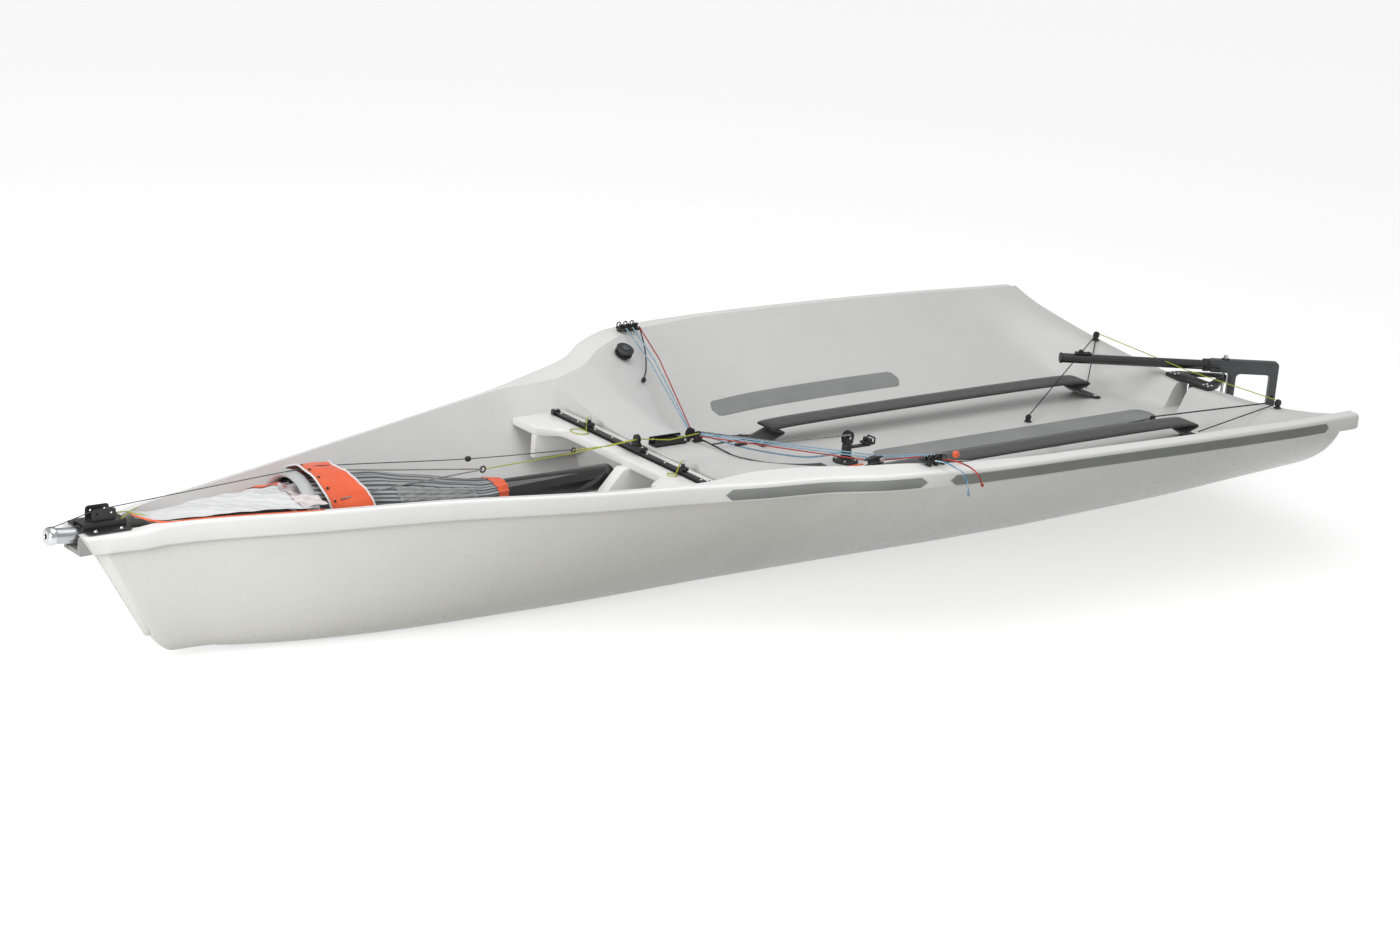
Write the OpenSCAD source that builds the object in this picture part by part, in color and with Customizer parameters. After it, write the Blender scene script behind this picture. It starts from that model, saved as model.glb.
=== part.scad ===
// Two-person skiff dinghy with solid wings, unrigged: no mast, sails, rudder blade or daggerboard.
// Frame: +X to the bow, +Y to port, +Z up. Origin under the middle of the whole boat, on the ground.
// Stations (st) run from 0 at the bow to 100 at the middle of the transom, in percent of hull_len.

/* [Hull] */
// Length of the hull from the nose to the middle of the transom
hull_len = 4420; // [3600:10:5400]
// Half of the greatest beam, over the gunwales
half_beam = 888; // [740:2:1080]
// Height of the gunwale's top at the widest station above the lowest point of the keel
rim_top = 534; // [450:2:640]
// Height of the gunwale band
rim_h = 54; // [44:1:66]
// How far the keel rises from its lowest point to the transom
aft_rise = 105; // [80:1:130]
// How far the wing tips sit forward of the transom's middle
tip_sweep = 137; // [80:1:190]
// Vertical thickness of the deck moulding
deck_t = 10; // [6:0.5:14]
// Height of the cockpit floor above the lowest point of the keel
floor_z = 266; // [230:2:300]
// Height of the mast platform and of the beam in front of it
step_z = 420; // [400:2:440]
// Height of the transom wall at its middle above the lowest point of the keel
wall_h = 352; // [340:2:362]
// Width of the drain slot in the middle of the transom
slot_w = 54; // [40:2:80]
// Length of the daggerboard slot
board_l = 380; // [300:5:430]
// Width of the daggerboard slot
board_w = 34; // [24:1:44]

/* [Bow] */
// Diameter of the spinnaker pole
pole_d = 45; // [36:1:54]
// Length of the spinnaker pole
pole_l = 1650; // [1300:10:1800]
// How far the pole's cap stands out in front of the bow at rest
pole_out = 70; // [50:2:110]
// Height of the pole's axis at the bow
pole_z = 414; // [404:1:424]
// Downward slope of the pole towards its aft end, in degrees
pole_tilt = 5.5; // [5:0.1:6]
// Free travel of the pole out of the bow
pole_travel = 1100; // [800:10:1200]
// Wall of the sheet-metal fitting over the pole
fitting_t = 4; // [3:0.5:6]
// Diameter of the holes through the fitting's ears
fitting_hole_d = 6.5; // [5:0.5:8]
// Diameter of the arch tube at the chute's mouth
arch_d = 24; // [18:1:30]
// Height of the arch's top
arch_top = 508; // [496:1:520]

/* [Mast and track] */
// Length of the jib track
track_l = 790; // [600:10:860]
// Width of the jib track
track_w = 22; // [18:1:28]
// Length of the mast step channel
step_l = 122; // [90:2:150]
// Inside width of the mast step channel
step_w = 30; // [24:1:40]
// Diameter of the mast step's pin
step_pin_d = 8; // [6:0.5:10]

/* [Cockpit] */
// Width of the toe straps
strap_w = 92; // [70:2:110]
// Thickness of the toe straps
strap_t = 7; // [5:0.5:10]
// Clearance under the middle of the toe straps
strap_gap = 62; // [45:1:80]
// Thickness of the grip pads
pad_t = 3; // [2:0.5:4]
// Width of the middle floor pad
pad_w = 105; // [80:1:130]

/* [Steering] */
// Distance from the transom's middle to the rudder hinge
hinge_out = 145; // [120:1:180]
// Diameter of the rudder hinge pin
hinge_d = 10; // [8:0.5:12]
// Reach of the rudder stock behind its hinge
stock_l = 195; // [160:1:240]
// Height of the tiller's axis
tiller_z = 401; // [394:1:412]
// Diameter of the tiller tube
tiller_d = 34; // [28:1:38]
// Reach of the tiller's front end ahead of the hinge
tiller_l = 590; // [500:5:760]
// Angle of the tiller from the centreline at rest, front end to starboard
tiller_deg = 31; // [0:1:35]

/* [Hidden] */
$fn = 48;
mirror_y = [0, 1, 0];
gap = 0.3;

// Lines of the boat, as short offset tables: [station, value]
sheer_b = [[0, 0.080], [6.6, 0.121], [15.5, 0.237], [24.3, 0.36], [33.2, 0.499], [39.8, 0.599],
  [44.2, 0.68], [48.7, 0.763], [52, 0.875], [55.3, 0.938], [60, 0.973], [66.4, 0.989],
  [79.6, 1.0], [90, 0.992], [100, 0.972]];
sheer_z = [[0, 0.797], [3.9, 0.8], [5.8, 0.828], [7.5, 0.834], [15.5, 0.85], [24.3, 0.875], [33.2, 0.888], [39.8, 0.906],
  [44.2, 0.921], [48.7, 0.948], [52, 0.98], [55.3, 1.0], [60, 1.0], [66.4, 0.998], [79.6, 0.981],
  [90, 0.962], [100, 0.947]];
band_h = [[0, 1.15], [3, 1.02], [6.6, 1.2], [24, 1.16], [50, 1.02], [100, 1.0]];
band_w = [[0, 44], [4, 40], [8, 20], [34, 20], [40, 30], [46, 112], [53, 104], [58, 70], [66, 44], [100, 40]];
band_lap = [[0, 24], [82, 26], [94, 70], [100, 92]];
keel_line = [[2, 0.24], [6.7, 0.24], [9, 0.16], [14, 0.06], [20, 0.01], [26, 0], [66, 0],
  [74, 0.06], [86, 0.42], [94, 0.76], [100, 1.0]];
keel_flat = [[2, 7], [7, 18], [16, 44], [28, 80], [40, 98], [100, 98]];
bilge_y = [[2, 0.52], [16, 0.55], [34, 0.3], [55, 0.164], [75, 0.2], [100, 0.42]];
bilge_z = [[2, 0.05], [16, 0.01], [34, 0], [75, 0], [100, 0.05]];
bulge_y = [[2, 0.8], [16, 0.8], [34, 0.7], [55, 0.574], [75, 0.72], [100, 1.0]];
bulge_z = [[2, 0.4], [16, 0.3], [34, 0.42], [55, 0.534], [75, 0.52], [100, 0.545]];
well_z = [[0, 372], [3, 366], [7, 290], [12, 232], [20, 185], [45, 170]];
well_w = [[0, 22], [3, 28], [8, 42], [14, 70], [24, 118], [34, 190], [45, 262]];
ramp_z = [[45, 1], [48.8, 1], [51, 0.80], [54, 0.44], [58, 0.15], [62, 0.02], [65, 0], [100, 0]];
floor_w = [[45, 140], [50, 190], [55, 330], [60, 440], [66, 488], [78, 503], [90, 498], [100, 450]];

// Smooth monotone curve through a table
function clampf(v, a, b) = min(max(v, a), b);
function seg(t, c, i = 0) = i >= len(c) - 2 || t < c[i + 1][0] ? i : seg(t, c, i + 1);
function rise(c, i) = (c[i + 1][1] - c[i][1]) / (c[i + 1][0] - c[i][0]);
function tangent(c, i) = i == 0 ? rise(c, 0) : i == len(c) - 1 ? rise(c, i - 1)
  : rise(c, i - 1) * rise(c, i) <= 0 ? 0
  : 2 * rise(c, i - 1) * rise(c, i) / (rise(c, i - 1) + rise(c, i));
function curve(t, c) = let(i = seg(t, c), h = c[i + 1][0] - c[i][0],
  u = clampf((t - c[i][0]) / h, 0, 1))
  (2 * u * u * u - 3 * u * u + 1) * c[i][1] + (u * u * u - 2 * u * u + u) * h * tangent(c, i)
  + (3 * u * u - 2 * u * u * u) * c[i + 1][1] + (u * u * u - u * u) * h * tangent(c, i + 1);
function mix(a, b, t) = a + (b - a) * t;
function ease(t) = let(u = clampf(t, 0, 1)) u * u * (3 - 2 * u);

// Sheer, band and deck values at a station
function sheer_y(st) = half_beam * curve(st, sheer_b);
function sheer_h(st) = rim_top * curve(st, sheer_z);
function rim_b(st) = rim_h * curve(st, band_h);
function rim_w(st) = min(curve(st, band_w), sheer_y(st) - 33);
function lap(st) = curve(st, band_lap);
function keel_z(st) = aft_rise * curve(st, keel_line);
function in_well(st) = st < 45;
function centre_z(st) = in_well(st) ? curve(st, well_z) : mix(floor_z, step_z, curve(st, ramp_z));
function centre_w(st) = min(in_well(st) ? curve(st, well_w) : curve(st, floor_w) * half_beam / 888,
  (sheer_y(st) - rim_w(st)) * 0.88);

// Distance aft of the bow: stations lean forward at the stem and sweep forward at the wing tips
stem_rake = 213;
function x_at(st, y = 0, h = 1) = -hull_len * st / 100
  + tip_sweep * pow(min(abs(y) / half_beam, 1), 2) * ease((st - 84) / 16)
  - stem_rake * (1 - h) * pow(max(0, 1 - (st - 2) / 28), 2);

// Bottom section: keel flat, then a Bezier curve round the bilge to the underside of the band
n_half = 10;
function bottom_pt(st, k) = let(b0 = curve(st, keel_flat), z0 = keel_z(st),
    b3 = sheer_y(st) - lap(st), z3 = sheer_h(st) - rim_b(st), t = max(0, k - 1) / (n_half - 1),
    b1 = mix(b0, b3, curve(st, bilge_y)), z1 = mix(z0, z3, curve(st, bilge_z)),
    b2 = mix(b0, b3, curve(st, bulge_y)), z2 = mix(z0, z3, curve(st, bulge_z)), s = 1 - t)
  k == 0 ? [0, z0] : [s * s * s * b0 + 3 * s * s * t * b1 + 3 * s * t * t * b2 + t * t * t * b3,
    s * s * s * z0 + 3 * s * s * t * z1 + 3 * s * t * t * z2 + t * t * t * z3];

// Deck section: flat middle, then a rising side to the band's inner edge
wall_st = 98.9;
function wall_z(y, st) = mix(wall_h, sheer_h(st), pow(min(abs(y) / (half_beam * 0.97), 1), 2));
function side_pt(st, u) = let(w = centre_w(st), z = centre_z(st), bi = sheer_y(st) - rim_w(st),
    zi = sheer_h(st)) [mix(w, bi, u), mix(z, zi, in_well(st) ? pow(u, 0.9) : pow(u, 1.12))];
function deck_raw(st, k) = let(w = centre_w(st), z = centre_z(st), sl = min(slot_w / 2, w * 0.3))
  k == 0 ? [0, z] : k == 1 ? [sl, z] : k == 2 ? [sl + min(4, w * 0.1), z]
  : k == 3 ? [w * 0.62, z] : side_pt(st, (k - 4) / (n_half - 5));
function wall_blend(st, k) = k < 2 || k > 8 ? 0 : let(a = 97.4 - (k - 2) * 0.85) ease((st - a) / (wall_st - a));
function deck_pt(st, k) = let(p = deck_raw(st, k), b = wall_blend(st, k))
  [p[0], mix(p[1], max(p[1], wall_z(p[0], st)), b)];
function deck_z(st, y) = lookup(abs(y), [for (k = [0:n_half - 1]) deck_pt(st, k)]);

// Lofts between stations
slot_st = [53.2, 61.8];
stations = [2, 3, 4.5, 6.7, 9, 12, 15.5, 20, 24.3, 29, 33.2, 37, 40.5, 44.95, 45.05, 47, 49, 51, slot_st[0],
  55, 58, slot_st[1], 65, 70, 75, 80, 85, 89, 92, 94, 95.5, 96.6, 97.6, 98.3, 98.9, 100];
function rows(a, b) = [for (s = stations) if (s >= a && s <= b) s];
// Quads between two rings of n points each, closed round, with both end caps as quad strips
// (other = true takes each quad's other diagonal, so that two lofts share a surface exactly)
function ring_faces(n, m, other) = [for (i = [0:m - 2], j = [0:n - 1])
  let(a = i * n + j, b = i * n + (j + 1) % n)
  each (other ? [[a, a + n, b], [b, a + n, b + n]] : [[a, b + n, b], [a, a + n, b + n]])];
function cap_faces(n, o, flip) = [for (j = [0:n / 2 - 2]) let(a = o + j, b = o + j + 1,
  c = o + n - 2 - j, d = o + n - 1 - j)
  each (flip ? [[a, b, c], [a, c, d]] : [[a, c, b], [a, d, c]])];
module loft(rings, other = false) {
  n = len(rings[0]);
  m = len(rings);
  polyhedron([for (r = rings) each r],
    concat(ring_faces(n, m, other), cap_faces(n, 0, true), cap_faces(n, (m - 1) * n, false)), 10);
}
// A ring is read across the boat from port to starboard on its lower side and back on its upper side
function both(half) = concat([for (i = [len(half) - 1:-1:1]) [half[i][0], half[i][1], half[i][2]]],
  [for (p = half) [p[0], -p[1], p[2]]]);
function reverse(v) = [for (i = [len(v) - 1:-1:0]) v[i]];
function at3(st, p, h = 1) = [x_at(st, p[0], h), p[0], p[1]];
function bottom3(st, k) = let(p = bottom_pt(st, k),
  h = (p[1] - keel_z(st)) / (sheer_h(st) - rim_b(st) - keel_z(st))) at3(st, p, h);
function under3(st, k) = let(p = deck_pt(st, k)) at3(st, [p[0], p[1] - deck_t]);
function deck3(st, k) = at3(st, deck_pt(st, k));
// The moulding is made of blocks with fine joints, so that collision follows the well, cockpit and wings.
// A block is [from, to] in stations; along each side its rings run between two bottom points and two deck points
glue = 1.2;
under_deck = 10;
off_band = 6;
joint_st = 0.01;
side_joint = 0.04;
well_blocks = [[2, 9], [9, 15.5], [15.5, 24.3], [24.3, 33.2], [33.2, 44.9]];
mid_blocks = [[45.06, 49], [49, 51], [51, slot_st[0]], [slot_st[1], 65], [65, 75], [75, 85], [85, 92],
  [92, 94], [94, 95.5], [95.5, 96.6]];
slot_blocks = [[slot_st[0], 55], [55, 58], [58, slot_st[1]]];
drain_blocks = [[96.6, 97.6], [97.6, 98.3], [98.3, 98.9], [98.9, 100]];
function block_rows(b) = concat([b[0] + joint_st], rows(b[0] + 2 * joint_st, b[1] - joint_st), [b[1]]);
function low3(st, k, e = 0) = mix(bottom3(st, k), bottom3(st, min(k + 1, n_half)), e)
  - [0, k == n_half ? 2 * glue : 0, 0];
function edge_part(st) = let(a = under3(st, n_half - 2)[1], b = under3(st, n_half - 1)[1])
  1 - min(0.9, max(off_band, lap(st) - rim_w(st)) / (b - a));
function high3(st, k, e = 0) = (k == n_half - 1 ? mix(under3(st, k - 1), under3(st, k), edge_part(st))
  : mix(under3(st, k), under3(st, min(k + 1, n_half - 1)), e)) - [0, 0, under_deck];
function side_ring(low, up) = [for (p = concat(low, reverse(up))) [p[0], -p[1], p[2]]];
function wing_cell(st, kl, ku) = side_ring(
  [for (k = [kl[0]:kl[1]]) low3(st, k, k == kl[0] ? side_joint : 0)],
  [for (k = [ku[0]:ku[1]]) high3(st, k, k == ku[0] ? side_joint : 0)]);
function half_cell(st, y) = let(p = high3(st, 0), q = high3(st, 1)) side_ring(
  concat([at3(st, [y, keel_z(st)])], [for (k = [1:5]) low3(st, k)]),
  concat([at3(st, [y, p[2]]), at3(st, [mix(y, q[1], 0.5), p[2]])], [for (k = [1:4]) high3(st, k)]));
function drain_cell(st) = let(y = slot_w / 2 - 1) concat(both([for (p = [0, y]) at3(st, [p, keel_z(st)])]),
  reverse(both([for (p = [0, y]) at3(st, [p, high3(st, 0)[2]])])));
function beside_drain(st) = side_ring(
  concat([at3(st, [slot_w / 2 + 5, keel_z(st)])], [for (k = [1:5]) low3(st, k)]),
  [high3(st, 2, side_joint), high3(st, 2, 0.4), high3(st, 2, 0.7), high3(st, 3), high3(st, 3, 0.5), high3(st, 4)]);
// Neighbouring blocks take turns with the diagonals of their sides, so that the joints stay even
module wing_cells(b) both_sides() {
  loft([for (st = block_rows(b)) wing_cell(st, [5, 7], [4, 6])], true);
  loft([for (st = block_rows(b)) wing_cell(st, [7, 10], [6, 9])]);
}
function deck_ring(st) = concat(both([for (k = [0:n_half - 1]) under3(st, k)]),
  reverse(both([for (k = [0:n_half - 1]) deck3(st, k)])));
// The band stands one glue line off the hull and the deck
function band_ring(st) = let(b = sheer_y(st), z = sheer_h(st), w = rim_w(st), h = rim_b(st))
  [for (p = [[b - lap(st) + glue, z - h], [b - 6, z - h], [b, z - h + 6], [b, z - 12], [b - 4, z - 4],
    [b - 12, z], [b - w + glue, z], [b - w + glue, z - deck_t]]) [x_at(st, p[0]), p[0], p[1]]];

// Placement
cap_l = 26;
cap_r = pole_d / 2 + 4;
cap_bevel = 9;
stock_t = 30;
pole_front = pole_out * cos(pole_tilt) + (cap_r - cap_bevel) * sin(pole_tilt);
hinge_x = -hull_len - hinge_out;
stock_end = hinge_x - stock_l * cos(tiller_deg) - stock_t / 2 * sin(tiller_deg);
mid_x = (pole_front + stock_end) / 2;
module boat() { translate([-mid_x, 0, 0]) children(); }
module both_sides() { children(); mirror(mirror_y) children(); }

module hull_moulding() color([0.88, 0.88, 0.86]) boat() {
  for (b = concat(well_blocks, mid_blocks, slot_blocks, drain_blocks)) wing_cells(b);
  for (b = concat(well_blocks, mid_blocks)) both_sides() loft([for (st = block_rows(b)) half_cell(st, gap)]);
  for (b = slot_blocks) both_sides() loft([for (st = block_rows(b)) half_cell(st, board_w / 2)]);
  for (b = drain_blocks) {
    loft([for (st = block_rows(b)) drain_cell(st)]);
    both_sides() loft([for (st = block_rows(b)) beside_drain(st)]);
  }
}
module board_cut() {
  translate([board_x - board_l / 2, -board_w / 2, -50]) cube([board_l, board_w, 600]);
}
module deck_moulding() color([0.93, 0.93, 0.92]) boat() difference() {
  loft([for (s = rows(2, 100)) deck_ring(s)], true);
  board_cut();
}
board_x = x_at(57.5);
module band() loft([for (st = concat([0.3, 1], rows(2, 100))) band_ring(st)], true);
module gunwale_port() color([0.94, 0.94, 0.93]) boat() band();
module gunwale_starboard() color([0.94, 0.94, 0.93]) boat() mirror(mirror_y) band();

// Bow: a grooved nose between the bands, and the pole that slides in it
groove_z = pole_z - pole_d / 2 - 14;
module bow_block() color([0.94, 0.94, 0.93]) boat() loft([for (st = [0.3, 1, 2])
  let(b = sheer_y(st) - lap(st) - glue, z = sheer_h(st), zb = z - rim_b(st), g = groove_z)
  concat(both([[x_at(st, b), 0, zb], [x_at(st, b), 20, zb], [x_at(st, b), b, zb]]),
    reverse(both([[x_at(st, b), 0, g], [x_at(st, b), 30, g], [x_at(st, b), 31.5, z - deck_t]])))]);
// Local +Z runs aft along the pole, from the bow's nose
module along_pole() { translate([0, 0, pole_z]) rotate([0, -90 - pole_tilt, 0]) children(); }
tack_hole_r = 7;
pole_wall = 2;
module spinnaker_pole() color([0.78, 0.79, 0.8]) boat() along_pole() difference() {
  translate([0, 0, cap_l - pole_out]) cylinder(d = pole_d, h = pole_l - cap_l);
  translate([0, 0, cap_l - pole_out - 1]) cylinder(d = pole_d - 2 * pole_wall, h = pole_l);
}
module pole_cap() color([0.7, 0.71, 0.72]) boat() along_pole() translate([0, 0, -pole_out])
  rotate_extrude() polygon([[tack_hole_r, 0], [cap_r - cap_bevel, 0], [cap_r - 2, 5], [cap_r, 11],
    [cap_r, cap_l - 3], [cap_r - 3, cap_l], [tack_hole_r, cap_l]]);
fit_a = -28;
fit_b = -164;
fit_z = sheer_h(3.9) + 1.6;
foot_in = 34;
foot_out = 66;
hat_z = pole_z + pole_d / 2 + 6;
ear_z = 483;
module bow_fitting() color([0.06, 0.06, 0.065]) boat() difference() {
  union() {
    for (s = [-1, 1]) translate([fit_b, s > 0 ? foot_in - fitting_t : -foot_out, fit_z + gap])
      cube([fit_a - fit_b, foot_out - foot_in + fitting_t, fitting_t]);
    for (s = [-1, 1]) translate([fit_b, s > 0 ? foot_in - 2 * fitting_t : -foot_in + fitting_t, fit_z + gap])
      cube([fit_a - fit_b, fitting_t, hat_z - fit_z]);
    translate([fit_b, -foot_in + fitting_t, hat_z]) cube([fit_a - fit_b, 2 * (foot_in - fitting_t), fitting_t]);
    for (x = [fit_b, fit_a - 8]) translate([x, -29, groove_z + 1]) cube([8, 58, hat_z - groove_z - 1 + fitting_t]);
    for (y = [-22, 22 - fitting_t]) translate([fit_b + 30, y, hat_z]) cube([74, fitting_t, ear_z - hat_z]);
  }
  along_pole() translate([0, 0, -100]) cylinder(r = pole_d / 2 + 0.8, h = 500);
  translate([fit_b + 44, 0, ear_z - 12]) rotate([90, 0, 0]) cylinder(d = fitting_hole_d, h = 80, center = true);
  translate([fit_b + 88, 0, ear_z - 12]) rotate([90, 0, 0]) cylinder(d = fitting_hole_d, h = 80, center = true);
}

// Spinnaker chute: arch, skirt, trough in front, sock and tunnel behind
arch_st = 16.2;
arch_x = x_at(arch_st);
arch_r = 135;
arch_c = arch_top - arch_d / 2 - arch_r;
module half_tube(r, d, x) { translate([x, 0, arch_c]) rotate([90, 0, 90]) rotate_extrude(angle = 180)
  translate([r, 0]) circle(d = d); }
module chute_arch() color([0.62, 0.63, 0.63]) boat() half_tube(arch_r, arch_d, arch_x);
skirt_l = 120;
module chute_skirt() color([0.92, 0.33, 0.16]) boat() translate([arch_x - arch_d / 2 - 2, 0, arch_c])
  rotate([0, -90, 0]) difference() {
    cylinder(r = arch_r + 8, h = skirt_l, $fn = 72);
    translate([0, 0, -1]) cylinder(r = arch_r + 5, h = skirt_l + 2, $fn = 72);
    translate([-400, -200, -1]) cube([425, 400, skirt_l + 2]);
  }
// Trough cloth: [distance aft, height of its middle]; its edges hang below the gunwale's inner edge
trough = [[222, 427], [300, 419], [420, 411], [540, 405], [640, 402], [694, 402]];
trough_drop = 16;
cloth_t = 3;
function side_y(st, z) = lookup(z, [for (k = [4:n_half - 1]) let(p = deck_pt(st, k)) [p[1], p[0]]]);
function trough_half(st) = side_y(st, sheer_h(st) - trough_drop - cloth_t - 2) - 3;
module chute_trough() color([0.86, 0.86, 0.86]) boat() loft([for (t = trough)
  let(x = -t[0], st = -100 * x / hull_len, w = trough_half(st), e = sheer_h(st) - trough_drop,
    up = [[0, t[1]], [w * 0.55, t[1] + (e - t[1]) * 0.25], [w, e]])
  concat(both([for (p = up) [x, p[0], p[1] - cloth_t]]), reverse(both([for (p = up) [x, p[0], p[1]]])))]);
// Sock: [distance aft, half width, underside, top]
sock = [[732, 104, 396, 484], [850, 112, 384, 474], [1000, 118, 366, 458], [1200, 104, 348, 418],
  [1350, 80, 334, 388], [1436, 34, 318, 372]];
function sock_ring(s, n = 16) = [for (i = [0:n - 1]) let(a = (i + 0.5) * 360 / n)
  [-s[0], s[1] * cos(a), (s[2] + s[3]) / 2 + (s[3] - s[2]) / 2 * sin(a)]];
module chute_sock() color([0.6, 0.6, 0.6]) boat()
  polyhedron([for (s = sock) each sock_ring(s)], concat(
    [for (i = [0:len(sock) - 2], j = [0:15]) let(a = i * 16 + j, b = i * 16 + (j + 1) % 16)
      each [[a, b, b + 16], [a, b + 16, a + 16]]],
    [[for (j = [15:-1:0]) j], [for (j = [0:15]) (len(sock) - 1) * 16 + j]]), 10);
tunnel_r = 40;
tunnel_z = 345;
tunnel_a = -1440;
tunnel_b = -1860;
module chute_tunnel() color([0.03, 0.03, 0.03]) boat() translate([tunnel_a, 0, tunnel_z])
  rotate([0, -90, 0]) cylinder(r = tunnel_r, h = tunnel_a - tunnel_b);

// Mast beam: a plate across the end of the well on two side knees and a middle web
beam_st_a = 40.4;
beam_st_b = 44.95;
beam_a = x_at(beam_st_a);
beam_b = x_at(beam_st_b);
beam_t = 26;
function beam_w(st) = side_y(st, step_z - beam_t) - 2;
knee_y = 296;
knee_t = 24;
knee_z = 322;
web_y = [48, 96];
web_z = 186;
// The plate's front edge between the two corner tabs, and the inner side of the tabs
beam_mid = -1860;
tab_y = 294;
module mast_beam() color([0.93, 0.93, 0.92]) boat() {
  translate([0, 0, step_z - beam_t]) linear_extrude(beam_t) polygon([[beam_a, beam_w(beam_st_a)],
    [beam_a, tab_y], [beam_mid, tab_y - 40], [beam_mid, 40 - tab_y], [beam_a, -tab_y],
    [beam_a, -beam_w(beam_st_a)], [beam_b + gap, -beam_w(beam_st_b)], [beam_b + gap, beam_w(beam_st_b)]]);
  translate([0, web_y[1], 0]) rotate([90, 0, 0]) linear_extrude(web_y[1] - web_y[0])
    polygon([[beam_b + gap, web_z], [beam_mid + 60, web_z], [beam_mid + 92, 300], [beam_mid + 14, 420],
      [beam_mid, step_z - beam_t], [beam_b + gap, step_z - beam_t]]);
  both_sides() translate([beam_b + gap, knee_y, knee_z])
    cube([beam_a - beam_b - gap, knee_t, step_z - beam_t - knee_z]);
}
track_st = 43.6;
track_x = x_at(track_st);
track_h = 12;
module jib_track() color([0.05, 0.05, 0.05]) boat()
  translate([track_x - track_w / 2, -track_l / 2, step_z + gap]) cube([track_w, track_l, track_h]);
stop_at = [-212, 268];
module track_stops() color([0.08, 0.08, 0.08]) boat() for (y = stop_at)
  translate([track_x - track_w / 2 - 4, y - 12, step_z + gap + track_h + gap]) cube([track_w + 8, 24, 12]);
car_l = 76;
car_y = 110;
module jib_car() color([0.06, 0.06, 0.06]) boat() translate([track_x, car_y, step_z + 2 * gap + track_h]) {
  translate([-track_w / 2 - 6, -car_l / 2, 0]) cube([track_w + 12, car_l, 14]);
  difference() {
    translate([0, 0, 14]) cylinder(r = 15, h = 20);
    translate([0, 0, 26]) rotate([0, 90, 0]) cylinder(r = 4, h = 60, center = true);
  }
}
step_x = x_at(45.5) - 4;
step_t = 4;
step_h = 25;
module mast_step() color([0.05, 0.05, 0.05]) boat() translate([step_x - step_l, 0, step_z + gap]) difference() {
  translate([0, -step_w / 2 - step_t, 0]) cube([step_l, step_w + 2 * step_t, step_h]);
  translate([-1, -step_w / 2, step_t]) cube([step_l + 2, step_w, step_h]);
  for (x = [14, step_l - 14]) translate([x, 0, step_h - 9]) rotate([90, 0, 0])
    cylinder(d = step_pin_d, h = 80, center = true);
}
module mast_step_pin() color([0.75, 0.76, 0.77]) boat() translate([step_x - step_l + 14, 0, step_z + gap + step_h - 9])
  rotate([90, 0, 0]) cylinder(d = step_pin_d - 0.2, h = step_w + 2 * step_t + 16, center = true);
foot_block_x = step_x - step_l - 42;
module mast_foot_blocks() color([0.07, 0.07, 0.07]) boat() for (s = [-1, 1])
  translate([foot_block_x, s * 20, deck_z(48.8, 20) + 1]) rotate([90, 0, 0]) difference() {
    translate([0, 17, 0]) cylinder(r = 15, h = 14, center = true);
    translate([0, 17, 0]) cylinder(r = 3, h = 20, center = true);
  }
case_wall = 3;
module daggerboard_case() color([0.2, 0.2, 0.2]) boat() translate([board_x, 0, 2]) difference() {
  translate([-board_l / 2, -board_w / 2, 0]) cube([board_l, board_w, floor_z - deck_t - 6]);
  translate([case_wall - board_l / 2, case_wall - board_w / 2, -5])
    cube([board_l - 2 * case_wall, board_w - 2 * case_wall, 400]);
}

// Cockpit
strap_y = 266;
strap_a = x_at(59.6);
strap_b = x_at(94.4);
module strap(s) {
  z1 = deck_z(59.6, strap_y) + 2;
  z2 = deck_z(94.4, strap_y) + 2;
  zm = floor_z + strap_gap;
  translate([0, s * strap_y + strap_w / 2, 0]) rotate([90, 0, 0]) linear_extrude(strap_w) polygon([
    [strap_a, z1], [strap_a, z1 + strap_t], [strap_a - 40, z1 + strap_t], [strap_a - 170, zm + strap_t],
    [strap_b + 150, zm + strap_t], [strap_b + 34, z2 + strap_t], [strap_b, z2 + strap_t], [strap_b, z2],
    [strap_b + 38, z2], [strap_b + 152, zm], [strap_a - 168, zm], [strap_a - 36, z1]]);
}
module toe_strap_port() color([0.05, 0.05, 0.05]) boat() strap(1);
module toe_strap_starboard() color([0.05, 0.05, 0.05]) boat() strap(-1);
pad_a = x_at(67);
pad_b = x_at(95.4);
module floor_grip_pad() color([0.55, 0.56, 0.56]) boat() translate([0, 0, floor_z + gap])
  linear_extrude(pad_t) union() {
    translate([pad_b + pad_w / 2, -pad_w / 2]) square([pad_a - pad_b - pad_w, pad_w]);
    for (x = [pad_a - pad_w / 2, pad_b + pad_w / 2]) translate([x, 0]) circle(d = pad_w);
  }
wing_pad_w = 62;
function wing_pad_y(st) = centre_w(st) + 34;
function wing_ring(st, sg) = let(a = wing_pad_y(st), b = a + wing_pad_w, g = 1.2,
  q = [for (y = [a, b]) [x_at(st, y), sg * y, deck_z(st, y) + g]])
  [q[0], q[1], [q[1][0], q[1][1], q[1][2] + pad_t], [q[0][0], q[0][1], q[0][2] + pad_t]];
module wing_grip_pads() color([0.55, 0.56, 0.56]) boat() {
  both_sides() loft([for (st = rows(61, 80)) wing_ring(st, 1)]);
}
function edge_ring(st) = let(b = sheer_y(st) + 2 * gap, z = sheer_h(st), zb = z - rim_b(st) + 9, zt = z - 14)
  [for (p = [[b, zb], [b + pad_t, zb], [b + pad_t, zt], [b, zt]]) [x_at(st, sheer_y(st)), p[0], p[1]]];
module gunwale_grip_pads() color([0.55, 0.56, 0.56]) boat() both_sides() {
  loft([for (st = [42, 44.95, 47, 49, 51, slot_st[0], 54.6]) edge_ring(st)]);
  loft([for (st = concat([56.4], rows(58, 96))) edge_ring(st)]);
}
sheet_st = 63.8;
sheet_x = x_at(sheet_st);
sheet_z = deck_z(sheet_st - 1, 0) + 2;
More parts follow.
